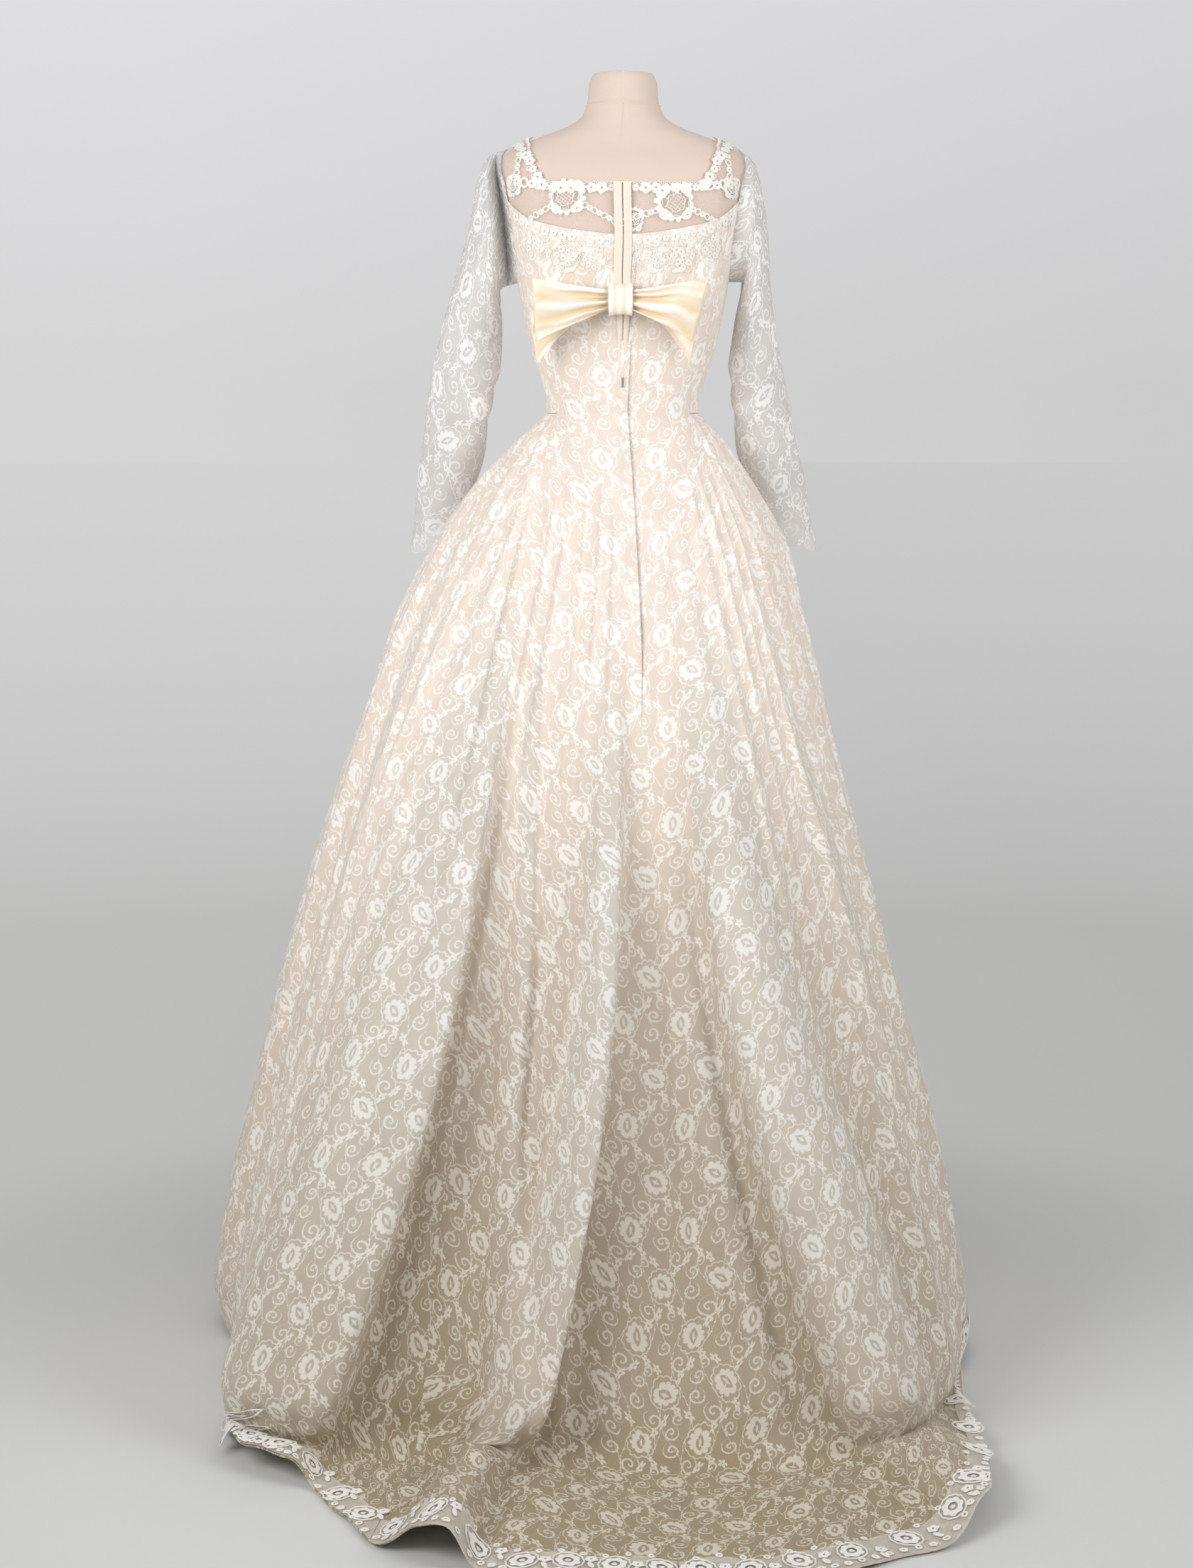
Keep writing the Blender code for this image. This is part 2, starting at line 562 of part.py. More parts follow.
def sleeve_rings(rows, side):
    """Rings of the sleeve: the armhole first, then ovals square to the arm's line."""
    turns = np.linspace(0, 2 * np.pi, SLEEVE_SIDES, endpoint=False)
    spin = np.cos(turns), np.sin(turns)
    hole_angle = 90 + (ARMHOLE_ANGLE - 0.9) * spin[1] * side
    hole_height = ARMHOLE_Z + (ARMHOLE_HALF - 0.0012) * spin[0]
    rings = [on_form(np.radians(side * hole_angle), hole_height, NET_OUT)]
    table = np.array(rows)
    middle_x = (table[:, 0] + table[:, 2]) / 2 * side
    centre = np.stack([middle_x, table[:, 4], (table[:, 1] + table[:, 3]) / 2], axis=-1)
    travel = np.gradient(centre, axis=0)
    for row, middle, way in zip(table, centre, travel):
        to_outer = np.array([(row[0] - row[2]) / 2 * side, 0, (row[1] - row[3]) / 2])
        tilt = math.atan2(way[1], -way[2])
        to_front = np.array([0, math.cos(tilt), math.sin(tilt)]) * row[5]
        rings.append(middle + spin[0][:, None] * to_outer + spin[1][:, None] * to_front)
    point = CUFF_POINT * np.clip(np.cos(turns), 0, 1) ** 2
    line = travel[-1] / np.linalg.norm(travel[-1])
    rings.append(rings[-1] + line * (0.004 + point)[:, None])
    return np.array(rings)


def build_sleeves(group, lace):
    for name, rows, side in (("sleeve_left", LEFT_SLEEVE, -1), ("sleeve_right", RIGHT_SLEEVE, 1)):
        points = sleeve_rings(rows, side)
        if side > 0:
            points = points[:, ::-1]
        cloth(name, points, SLEEVE_WALL, lace, group, around=True)


def bow_ground():
    """Y of the knot's back, just clear of the placket where the back stands out furthest."""
    top = form_point(np.zeros(1), np.array([BOW_Z + KNOT_HALF_HEIGHT]))[0, 1]
    return top - BODICE_OUT - TRIM_WALL - PLACKET_LIFT - KNOT_GAP


def bow_loop(side, top, bottom, knot_half, front_depth, back_depth, puff, droop, lift):
    """Band that leaves the knot, turns over at its outer end and comes back behind itself."""
    way = np.linspace(0, 1, LOOP_COLUMNS)[None, :]
    up = np.linspace(-1, 1, LOOP_ROWS)[:, None]
    out = np.sin(np.pi * way)
    reach = np.clip(out, 0, 1) ** 0.9
    inner = KNOT_HALF_WIDTH * 0.35
    x_top = inner + (top[0] - inner) * reach
    x_bottom = inner + (bottom[0] - inner) * reach
    z_top = BOW_Z + knot_half + (top[1] - BOW_Z - knot_half) * reach ** 1.2
    z_bottom = BOW_Z - knot_half + (bottom[1] - BOW_Z + knot_half) * reach ** 1.2
    z_bottom = z_bottom + droop * np.sin(np.pi * reach)
    share = (up + 1) / 2
    x = x_bottom + (x_top - x_bottom) * share
    z = z_bottom + (z_top - z_bottom) * share
    half_turn = np.cos(np.pi * way)
    depth = (front_depth + back_depth) / 2 + (front_depth - back_depth) / 2 * half_turn
    depth = depth + puff * out * (0.35 + 0.65 * half_turn) * (1 - 0.3 * up * up) + lift * reach
    y = bow_ground() - BOW_WALL - LAY_GAP - depth + 0 * x
    return np.stack([BOW_X + side * x, y, z + 0 * y], axis=-1)


def build_bow(group, satin):
    for name, side, *shape in BOW_LOOPS:
        points = bow_loop(side, *shape)
        if side < 0:
            points = points[:, ::-1]
        cloth(name, points, BOW_WALL, satin, group)
    turns = np.linspace(0, 2 * np.pi, 16, endpoint=False)[None, :]
    across = np.linspace(-1, 1, LOOP_ROWS)[:, None]
    pinch = 1 - KNOT_PINCH * (1 - across * across)
    flat = np.sign(np.cos(turns)) * np.abs(np.cos(turns)) ** (2 / KNOT_SQUARE)
    high = np.sign(np.sin(turns)) * np.abs(np.sin(turns)) ** (2 / KNOT_SQUARE)
    y = bow_ground() - KNOT_DEPTH / 2 - KNOT_DEPTH / 2 * flat + 0 * across
    z = BOW_Z + KNOT_HALF_HEIGHT * high * pinch
    x = BOW_X + KNOT_HALF_WIDTH * across + 0 * y
    cloth("bow_knot", np.stack([x, y, z], axis=-1), BOW_WALL, satin, group, around=True)


def build_skirt(group, lace, satin):
    places, whole = plan_places()
    names = [row[0] for row in SKIRT_PLAN]
    left = places[names.index("left princess")]
    right = places[names.index("right princess")]
    side_left = plan_at(-90)
    side_right = plan_at(90)
    centre = (("left", (left, 0.0), CENTRE_LEFT_COLUMNS), ("right", (0.0, right), CENTRE_RIGHT_COLUMNS))
    for side, edges, columns in centre:
        angle = plan_value(1, np.linspace(edges[0], edges[1], columns))
        waist = np.full(columns, WAIST_Z)
        bodice = form_patch(angle, waist, bodice_top(angle), BODICE_ROWS, BODICE_OUT)[1:]
        points = pull_in(np.concatenate([skirt_panel(edges, columns), bodice], axis=0), SKIRT_SEAM_GAP)
        cloth("centre_back_" + side, points, SKIRT_WALL, lace, group)
        hem = moved_out(points, LAY_GAP + TRIM_WALL)[:2]
        cloth("hem_trim_" + side, hem, TRIM_WALL, lace, group)
    panels = (("skirt_side_left", (side_left, left), SIDE_LEFT_COLUMNS),
              ("skirt_side_right", (right, side_right), SIDE_RIGHT_COLUMNS),
              ("skirt_front", (side_right - whole, side_left), FRONT_COLUMNS))
    for name, edges, columns in panels:
        cloth(name, pull_in(skirt_panel(edges, columns), SKIRT_SEAM_GAP), SKIRT_WALL, lace, group)
    at = np.linspace(right, side_right, SIDE_RIGHT_COLUMNS)[None, UNDERSKIRT_COLUMNS]
    down = np.concatenate([skirt_reach(at), lace_rows(at)[:-4:-1]])
    under = moved_out(skirt_point(at, down), -SKIRT_WALL - UNDERSKIRT_DROP)
    cloth("underskirt_hem", under, SKIRT_WALL, satin, group)


def plan_at(angle):
    """Floor distance whose waist angle is the given one."""
    fine = np.linspace(-1.6, 1.6, 1601)
    return float(np.interp(angle, plan_value(1, fine), fine))


def main():
    clear_scene()
    group = bpy.data.collections.new("wedding dress on a dress form")
    bpy.context.scene.collection.children.link(group)
    linen = material("linen over the form", LINEN, 0.9)
    satin = material("ivory satin", IVORY_SATIN, 0.4)
    lace = material("ivory lace on satin", IVORY_LACE, 0.8)
    net = material("white net", WHITE_NET, 0.85)
    steel = material("painted steel", STEEL, 0.45, 0.6)
    build_form(group, linen, steel)
    build_bodice(group, lace)
    build_yoke(group, net)
    build_neck_trim(group, lace)
    build_placket(group, satin, steel)
    build_sleeves(group, net)
    build_bow(group, satin)
    build_skirt(group, lace, satin)


main()
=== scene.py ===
import functools
import math

import bpy
import numpy as np
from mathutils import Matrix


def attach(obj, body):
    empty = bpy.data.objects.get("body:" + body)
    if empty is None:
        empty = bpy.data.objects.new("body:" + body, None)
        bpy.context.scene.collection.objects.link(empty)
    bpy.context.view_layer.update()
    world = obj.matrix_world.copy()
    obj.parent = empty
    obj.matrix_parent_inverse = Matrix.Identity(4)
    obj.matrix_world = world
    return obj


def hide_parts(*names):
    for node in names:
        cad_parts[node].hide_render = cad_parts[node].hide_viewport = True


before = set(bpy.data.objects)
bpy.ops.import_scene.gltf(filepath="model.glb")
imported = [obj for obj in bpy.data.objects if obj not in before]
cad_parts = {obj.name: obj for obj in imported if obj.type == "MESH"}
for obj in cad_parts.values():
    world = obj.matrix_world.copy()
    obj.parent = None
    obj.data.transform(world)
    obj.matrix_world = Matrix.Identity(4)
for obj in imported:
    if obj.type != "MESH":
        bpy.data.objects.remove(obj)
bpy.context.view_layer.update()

seeded = np.random.default_rng(1962)

# Small tools


def linear(code):  # sRGB hex to linear colour
    parts = np.array([int(code[i:i + 2], 16) for i in (1, 3, 5)]) / 255
    parts = np.where(parts <= 0.04045, parts / 12.92, ((parts + 0.055) / 1.055) ** 2.4)
    return (*parts.tolist(), 1.0)


def addNode(tree, kind, *inputs, out=0, **settings):
    # Adds one node with its settings; each input is a link, a value or None
    made = tree.nodes.new("ShaderNode" + kind)
    for key, value in settings.items():
        setattr(made, key, value)
    for slot, value in zip(made.inputs, inputs):
        if isinstance(value, bpy.types.NodeSocket):
            tree.links.new(value, slot)
        elif value is not None:
            slot.default_value = value
    return made.outputs[out]


def smoothStep(value):
    value = np.clip(value, 0, 1)
    return value * value * (3 - 2 * value)


def smoothLine(places, values, at):
    # Cubic curve through values at rising places, read at the array 'at'
    places = np.asarray(places, float)
    values = np.asarray(values, float)
    slope = np.gradient(values, places)
    at = np.clip(at, places[0], places[-1])
    left = np.clip(np.searchsorted(places, at, side="right") - 1, 0, len(places) - 2)
    step = places[left + 1] - places[left]
    share = (at - places[left]) / step
    ease = share * share * (3 - 2 * share)
    bend = share * (1 - share) ** 2 * slope[left] - share * share * (1 - share) * slope[left + 1]
    return values[left] + (values[left + 1] - values[left]) * ease + step * bend


def straightLine(rows, at):
    return np.interp(at, [row[0] for row in rows], [row[1] for row in rows])


def clothPlaces(points, column=None):
    # The cloth's own u and v in metres: lengths along each row from one column, and down each column
    column = points.shape[1] // 2 if column is None else column
    across = np.linalg.norm(np.diff(points, axis=1), axis=-1)
    across = np.concatenate([np.zeros((len(points), 1)), np.cumsum(across, axis=1)], axis=1)
    across = across - across[:, column:column + 1]
    along = np.linalg.norm(np.diff(points, axis=0), axis=-1)
    along = np.concatenate([np.zeros((1, points.shape[1])), np.cumsum(along, axis=0)], axis=0)
    return np.stack([across, along], axis=-1)


def normalsOf(points, around=False):
    # Unit normals of a grid: left to right crossed with bottom to top
    if around:
        padded = np.concatenate([points[:, -1:], points, points[:, :1]], axis=1)
        across = (padded[:, 2:] - padded[:, :-2]) / 2
    else:
        across = np.gradient(points, axis=1)
    normal = np.cross(across, np.gradient(points, axis=0))
    return normal / np.maximum(np.linalg.norm(normal, axis=-1, keepdims=True), 1e-12)


def makePiece(name, points, look, places=None, around=False, wall=0.0, values=None):
    # Quads over a rows x columns x 3 grid, with the cloth's places as the UV map "cloth"
    rows, columns = points.shape[:2]
    corner = np.arange(rows * columns).reshape(rows, columns)
    if around:
        corner = np.concatenate([corner, corner[:, :1]], axis=1)
    quads = np.stack([corner[:-1, :-1], corner[:-1, 1:], corner[1:, 1:], corner[1:, :-1]], axis=-1).reshape(-1, 4)
    mesh = bpy.data.meshes.new(name)
    mesh.from_pydata(points.reshape(-1, 3).tolist(), [], quads.tolist())
    if places is not None:
        wide = places.reshape(rows, -1, 2)
        if around and wide.shape[1] == columns:
            wide = np.concatenate([wide, wide[:, :1]], axis=1)
        corners = [wide[:-1, :-1], wide[:-1, 1:], wide[1:, 1:], wide[1:, :-1]]
        layer = mesh.uv_layers.new(name="cloth")
        layer.data.foreach_set("uv", np.stack(corners, axis=2).reshape(-1).astype(np.float32))
    for key, value in (values or {}).items():
        kept = mesh.attributes.new(key, "FLOAT", "POINT")
        kept.data.foreach_set("value", np.broadcast_to(value, (rows, columns)).reshape(-1).astype(np.float32))
    return finishPiece(name, mesh, look, wall)


def finishPiece(name, mesh, look, wall=0.0):
    # The wall goes inwards, and its rim keeps sharp edges so that seams don't shade dark
    made = bpy.data.objects.new(name, mesh)
    bpy.context.scene.collection.objects.link(made)
    mesh.materials.append(look)
    mesh.shade_smooth()
    if wall:
        shell = made.modifiers.new("wall", "SOLIDIFY")
        shell.thickness = wall
        shell.offset = -1.0
        solid = bpy.data.meshes.new_from_object(made.evaluated_get(bpy.context.evaluated_depsgraph_get()))
        made.modifiers.clear()
        made.data = solid
        solid.name = name
        solid.set_sharp_from_angle(angle=math.radians(62))
    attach(made, "root")
    return made


# Camera, light and studio

studio = {
    "place": (-0.03364, -3.5, 1.2), "tiltDown": 8.4, "lens": 61.912,
    "floor": "#DEDEDC", "air": "#E9EAEC", "glow near": "#BDBDBC", "glow far": "#D5D5D6", "backdrop high": "#E1E1E4",
    "plain floor": 0.66, "blended floor": 1.35, "floor middle": 0.35, "glow start": 3.0, "floor reach": 40.0,
    "key": (-1.5, -1.8, 1.85, 1.5, 33.0), "fill": (1.8, -1.5, 1.8, 1.5, 24.0), "top": (0.1, -0.6, 3.4, 1.6, 4.0),
    "aim": (0.0, -0.1, 1.50), "air strength": 0.44, "right side": 0.09,
}


def buildStudio():
    seen = bpy.data.cameras.new("camera")
    camera = bpy.data.objects.new("camera", seen)
    camera.location = studio["place"]
    camera.rotation_euler = (math.radians(90 - studio["tiltDown"]), 0, 0)
    seen.lens = studio["lens"]
    seen.sensor_width = 36
    seen.sensor_fit = "AUTO"
    bpy.context.scene.collection.objects.link(camera)
    bpy.context.scene.camera = camera
    for name in ("key", "fill", "top"):
        x, y, z, size, power = studio[name]
        light = bpy.data.lights.new(name, "AREA")
        light.shape = "DISK"
        light.size = size
        light.energy = power
        lamp = bpy.data.objects.new(name, light)
        aim = np.array(studio["aim"]) - np.array([x, y, z])
        lamp.location = (x, y, z)
        lamp.rotation_euler = (math.atan2(np.hypot(aim[0], aim[1]), -aim[2]), 0, math.atan2(aim[1], aim[0]) - math.pi / 2)
        bpy.context.scene.collection.objects.link(lamp)
    # The floor is a wide disk: plain paper round the dress, and beyond that it glows in the backdrop's own tone,
    # so that it has no edge from any side. The glow is painted light: darker near the dress and paler far off, with
    # painted shade towards the right
    radius = np.concatenate([np.linspace(0.02, 6, 25), [studio["floor reach"]]])[:, None]
    turn = np.linspace(0, 2 * math.pi, 64, endpoint=False)[None, :]
    points = np.stack(np.broadcast_arrays(radius * np.sin(turn), radius * np.cos(turn), -0.0004 + 0 * turn), axis=-1)
    look = bpy.data.materials.new("studio paper")
    look.use_nodes = True
    tree = look.node_tree
    add = functools.partial(addNode, tree)
    shader = tree.nodes["Principled BSDF"]
    shader.inputs["Base Color"].default_value = linear(studio["floor"])
    shader.inputs["Roughness"].default_value = 0.8
    away = add("VectorMath", add("TexCoord", out=3), (0.0, studio["floor middle"], 0.0), operation="ADD")
    away = add("VectorMath", away, out=1, operation="LENGTH")
    far = add("Math", add("Math", -studio["glow start"], away, operation="DIVIDE"), 1.0, operation="ADD", use_clamp=True)
    glow = add("Mix", far, None, None, None, None, None, linear(studio["glow near"]), linear(studio["glow far"]),
               out=2, data_type="RGBA")
    side = add("MapRange", add("SeparateXYZ", add("TexCoord", out=3)), -0.8, 1.1, 0.0, studio["right side"])
    glow = add("Mix", side, None, None, None, None, None, glow, linear("#000000"), out=2, data_type="RGBA")
    blend = add("MapRange", away, studio["plain floor"], studio["blended floor"], 0.0, 1.0, interpolation_type="SMOOTHSTEP")
    paper = add("MixShader", blend, shader.outputs[0], add("Emission", glow, 1.0))
    tree.links.new(paper, tree.nodes["Material Output"].inputs["Surface"])
    rows, columns = points.shape[:2]
    corner = np.arange(rows * columns).reshape(rows, columns)
    corner = np.concatenate([corner, corner[:, :1]], axis=1)
    quads = np.stack([corner[:-1, :-1], corner[1:, :-1], corner[1:, 1:], corner[:-1, 1:]], axis=-1)
    mesh = bpy.data.meshes.new("studio_floor")
    mesh.from_pydata(points.reshape(-1, 3).tolist(), [], quads.reshape(-1, 4).tolist() + [list(range(columns))])
    floor = bpy.data.objects.new("studio_floor", mesh)
    mesh.materials.append(look)
    bpy.context.scene.collection.objects.link(floor)
    # Even air lights the dress; the backdrop that is seen is painted light: paler higher up and painted a little darker
    # on the right
    world = bpy.data.worlds.new("studio air")
    world.use_nodes = True
    tree = world.node_tree
    add = functools.partial(addNode, tree)
    height = add("SeparateXYZ", add("TexCoord"), out=2)
    height = add("MapRange", height, 0.0, 0.16, 0.0, 1.0)
    tone = add("Mix", height, None, None, None, None, None, linear(studio["glow far"]), linear(studio["backdrop high"]),
               out=2, data_type="RGBA")
    side = add("MapRange", add("SeparateXYZ", add("TexCoord")), -0.16, 0.20, 0.0, studio["right side"])
    tone = add("Mix", side, None, None, None, None, None, tone, linear("#000000"), out=2, data_type="RGBA")
    seen = add("Background", tone, 1.0)
    even = add("Background", linear(studio["air"]), studio["air strength"])
    both = add("MixShader", add("LightPath"), even, seen)
    tree.links.new(both, tree.nodes["World Output"].inputs["Surface"])
    bpy.context.scene.world = world
    bpy.context.scene.view_settings.view_transform = "Standard"


buildStudio()
print("studio ready")

# Materials

# Allover lace: one repeat is 70 mm wide and 119 mm tall, in half-drop rows
laceMotif = {
    "width": 70.0, "row": 59.5, "tilt": 0.50, "wander": [(0.013, 15.0), (0.06, 5.0)],
    "rose": (13.4, 17.6), "eye": (0.36, 0.62), "flowerApart": 6.9, "vine": 9.0,
    "scrolls": [(-17.0, 29.0, 12.5, 7.6, 1), (35.0, 9.0, 10.5, 6.6, -1), (38.0, -13.0, 9.5, 6.2, 1), (12.0, 33.0, 7.0, 5.4, -1)],
}


def lacePattern(add, place):
    # How far a thread covers the net at each cloth place (in mm), from 0 to 1
    half, row = laceMotif["width"] / 2, laceMotif["row"]
    for scale, reach in laceMotif["wander"]:
        stirred = add("TexNoise", place, None, scale, 1.0, out=1)
        stirred = add("VectorMath", stirred, (reach,) * 3, (-reach / 2,) * 3, operation="MULTIPLY_ADD")
        place = add("VectorMath", place, stirred, operation="ADD")
    x = add("SeparateXYZ", place)
    y = x.node.outputs[1]

    def local(offsetX, offsetY):  # place in the half-drop lattice's nearest cell, and +1 or -1 by rows in turn
        line = add("Math", add("Math", y, 1 / row, 0.5 - offsetY / row, operation="MULTIPLY_ADD"), operation="FLOOR")
        moved = add("Math", line, half, x, operation="MULTIPLY_ADD")
        spot = add("CombineXYZ", add("Math", moved, offsetX, operation="SUBTRACT"),
                   add("Math", y, offsetY, operation="SUBTRACT"), 0.0)
        spot = add("VectorMath", spot, (half, row / 2, 1.0), (-half, -row / 2, -1.0), operation="WRAP")
        return spot, add("Math", add("Math", line, 1.0, operation="PINGPONG"), -2.0, 1.0, operation="MULTIPLY_ADD")

    def around(spot):  # the radius and the turn of a place, and its two parts
        east = add("SeparateXYZ", spot)
        north = east.node.outputs[1]
        return add("VectorMath", spot, out=1, operation="LENGTH"), add("Math", north, east, operation="ARCTAN2"), east, north

    # Rose: a ruffled leafy ring round an eye-shaped opening with a bud in it, leaning to either side by turns
    spot, other = local(0.0, 0.0)
    lean = add("Math", other, laceMotif["tilt"], operation="MULTIPLY")
    spot = add("VectorRotate", spot, None, None, lean, rotation_type="Z_AXIS")
    spot = add("VectorMath", spot, (1 / laceMotif["rose"][0], 1 / laceMotif["rose"][1], 0.0), operation="MULTIPLY")
    radius, turn, east, north = around(spot)
    uneven = add("Math", add("Math", turn, 2.0, 0.5, operation="MULTIPLY_ADD"), operation="SINE")
    ruffle = add("Math", add("Math", uneven, 0.22, turn, operation="MULTIPLY_ADD"), 4.5, 0.35, operation="MULTIPLY_ADD")
    ruffle = add("Math", add("Math", add("Math", ruffle, operation="COSINE"), operation="ABSOLUTE"), 0.5, operation="POWER")
    edge = add("Math", add("Math", add("Math", turn, 2.0, 0.9, operation="MULTIPLY_ADD"), operation="SINE"), 0.09, 0.70,
               operation="MULTIPLY_ADD")
    edge = add("Math", ruffle, 0.27, edge, operation="MULTIPLY_ADD")
    ring = add("Math", add("Math", edge, radius, operation="SUBTRACT"), 12.0, operation="MULTIPLY", use_clamp=True)
    eyeSpot = add("VectorRotate", spot, None, None, 0.5, rotation_type="Z_AXIS")
    eye = add("VectorMath", eyeSpot, (1 / laceMotif["eye"][0], 1 / laceMotif["eye"][1], 0.0), operation="MULTIPLY")
    eyeEast = add("Math", add("SeparateXYZ", eye), operation="ABSOLUTE")
    eyeNorth = add("Math", add("Math", add("SeparateXYZ", eye, out=1), operation="ABSOLUTE"), 2.0, operation="POWER")
    eye = add("Math", eyeEast, eyeNorth, operation="ADD")
    opening = add("Math", eye, 4.0, -3.2, operation="MULTIPLY_ADD", use_clamp=True)
    bud = add("Math", eye, -7.0, 2.4, operation="MULTIPLY_ADD", use_clamp=True)
    split = add("Math", ruffle, 2.6, add("Math", radius, -9.0, 7.2, operation="MULTIPLY_ADD", use_clamp=True),
                operation="MULTIPLY_ADD", use_clamp=True)
    bold = add("Math", add("Math", add("Math", ring, opening, operation="MULTIPLY"), split, operation="MULTIPLY"), bud,
               operation="MAXIMUM")
    loops = add("Math", add("Math", add("Math", turn, 6.0, operation="MULTIPLY"), operation="SINE"), operation="ABSOLUTE")
    loops = add("Math", add("Math", loops, 0.13, 1.10, operation="MULTIPLY_ADD"), radius, operation="SUBTRACT")
    thin = add("Math", add("Math", loops, operation="ABSOLUTE"), -17.0, 1.25, operation="MULTIPLY_ADD", use_clamp=True)

    # Pairs of five-petal flowers with eyelets in slanting chains
    for offsetX, offsetY, slant in ((17.5, 27.0, -0.6), (24.0, -22.0, 0.9)):
        spot, other = local(offsetX, offsetY)
        east = add("SeparateXYZ", spot)
        north = add("Math", east, slant, east.node.outputs[1], operation="MULTIPLY_ADD")
        side = add("Math", add("Math", east, operation="ABSOLUTE"), laceMotif["flowerApart"], operation="SUBTRACT")
        radius, turn, east, north = around(add("CombineXYZ", side, north, 0.0))
        petals = add("Math", add("Math", add("Math", turn, 2.5, operation="MULTIPLY"), operation="COSINE"), operation="ABSOLUTE")
        petals = add("Math", add("Math", petals, 3.6, 2.9, operation="MULTIPLY_ADD"), radius, operation="SUBTRACT")
        petals = add("Math", petals, 1.3, operation="MULTIPLY", use_clamp=True)
        eyelet = add("Math", radius, 1.7, -1.5, operation="MULTIPLY_ADD", use_clamp=True)
        bold = add("Math", add("Math", petals, eyelet, operation="MULTIPLY"), bold, operation="MAXIMUM")

    # Curled scrolls: a thin cord along a spiral, its edge picoted
    for offsetX, offsetY, reach, pitch, way in laceMotif["scrolls"]:
        spot, other = local(offsetX, offsetY)
        spot = add("VectorMath", spot, add("CombineXYZ", add("Math", other, way, operation="MULTIPLY"), 1.0, 1.0),
                   operation="MULTIPLY")
        radius, turn, east, north = around(spot)
        picots = add("Math", add("Math", turn, 11.0, operation="MULTIPLY"), operation="SINE")
        band = add("Math", turn, -pitch / (2 * math.pi), radius, operation="MULTIPLY_ADD")
        band = add("Math", band, pitch / 2, -pitch / 2, operation="WRAP")
        band = add("Math", add("Math", band, operation="ABSOLUTE"), add("Math", picots, 0.25, operation="MULTIPLY"),
                   operation="SUBTRACT")
        band = add("Math", band, -1.1, 1.65, operation="MULTIPLY_ADD", use_clamp=True)
        inside = add("Math", radius, -1.0, reach, operation="MULTIPLY_ADD", use_clamp=True)
        thin = add("Math", add("Math", band, inside, operation="MULTIPLY"), thin, operation="MAXIMUM")

    # Two families of thin wandering vines, with leaves along them
    sway = add("Math", add("Math", y, math.pi / row, operation="MULTIPLY"), operation="SINE")
    for way, start in ((1, 0.0), (-1, 17.5)):
        line = add("Math", add("Math", sway, way * laceMotif["vine"], x, operation="MULTIPLY_ADD"), start, operation="ADD")
        line = add("Math", add("Math", line, half / 2, -half / 2, operation="WRAP"), operation="ABSOLUTE")
        leaf = add("Math", add("Math", add("Math", y, way * 0.62, operation="MULTIPLY"), operation="SINE"), 2.2, -1.0,
                   operation="MULTIPLY_ADD")
        leaf = add("Math", add("Math", leaf, 0.45, operation="MAXIMUM"), line, operation="SUBTRACT")
        leaf = add("Math", leaf, 1.5, 0.25, operation="MULTIPLY_ADD", use_clamp=True)
        thin = add("Math", leaf, thin, operation="MAXIMUM")
    return add("Math", add("Math", thin, 0.90, operation="MULTIPLY"), bold, operation="MAXIMUM")


def laceLook(name, tones, sheer=None):
    # Corded cotton lace over champagne satin: ground and thread each have a plain, a painted shade and a lift tone.
    # Painted shade turns deep folds golden; lifted ones turn cool and white, partly from lace lifted off the lining and
    # partly as painted light on the crests. The net is drawn 2.2 mm wide: its real 1 mm is too fine to show
    look = bpy.data.materials.new(name)
    look.use_nodes = True
    tree = look.node_tree
    add = functools.partial(addNode, tree)
    shader = tree.nodes["Principled BSDF"]
    place = add("VectorMath", add("UVMap", uv_map="cloth"), (1000.0, 1000.0, 1000.0), operation="MULTIPLY")
    cover = lacePattern(add, place)
    net = add("TexVoronoi", place, None, 0.45, feature="DISTANCE_TO_EDGE")
    net = add("Math", net, -7.0, 1.0, operation="MULTIPLY_ADD", use_clamp=True)
    uneven = add("TexNoise", place, None, 0.02, 1.0)
    # The paintedShade attribute paints shade where a piece carries it: golden in fold hollows, lower down and on the
    # train lying on the floor
    paintedShade = add("Attribute", out=2, attribute_name="paintedShade")
    # The lift attribute is partly lace lifted off the lining and partly painted light on fold crests
    lift = add("Attribute", out=2, attribute_name="lift")
    mixed = []
    for plain, paintedShadeTone, liftAndLightTone in tones:
        tone = add("Mix", paintedShade, None, None, None, None, None, linear(plain), linear(paintedShadeTone), out=2, data_type="RGBA")
        mixed.append(add("Mix", lift, None, None, None, None, None, tone, linear(liftAndLightTone), out=2, data_type="RGBA"))
    threads = add("Math", net, 0.14, cover, operation="MULTIPLY_ADD", use_clamp=True)
    colour = add("Mix", threads, None, None, None, None, None, *mixed, out=2, data_type="RGBA")
    shade = add("Math", uneven, 0.14, 0.93, operation="MULTIPLY_ADD")
    colour = add("VectorMath", colour, None, None, shade, operation="SCALE")
    tree.links.new(colour, shader.inputs["Base Color"])
    rough = add("Math", threads, 0.24, 0.55, operation="MULTIPLY_ADD")
    tree.links.new(rough, shader.inputs["Roughness"])
    shader.inputs["Sheen Weight"].default_value = 0.15
    shader.inputs["Specular IOR Level"].default_value = 0.3
    bump = tree.nodes.new("ShaderNodeBump")
    bump.inputs["Strength"].default_value = 0.6
    bump.inputs["Distance"].default_value = 0.0010
    grain = add("TexNoise", place, None, 0.7, 2.0)
    tree.links.new(grain, bump.inputs["Height"])
    tree.links.new(bump.outputs[0], shader.inputs["Normal"])
    if sheer is not None:
        alpha = add("Math", threads, 0.97 - sheer, sheer, operation="MULTIPLY_ADD", use_clamp=True)
        tree.links.new(alpha, shader.inputs["Alpha"])
    return look


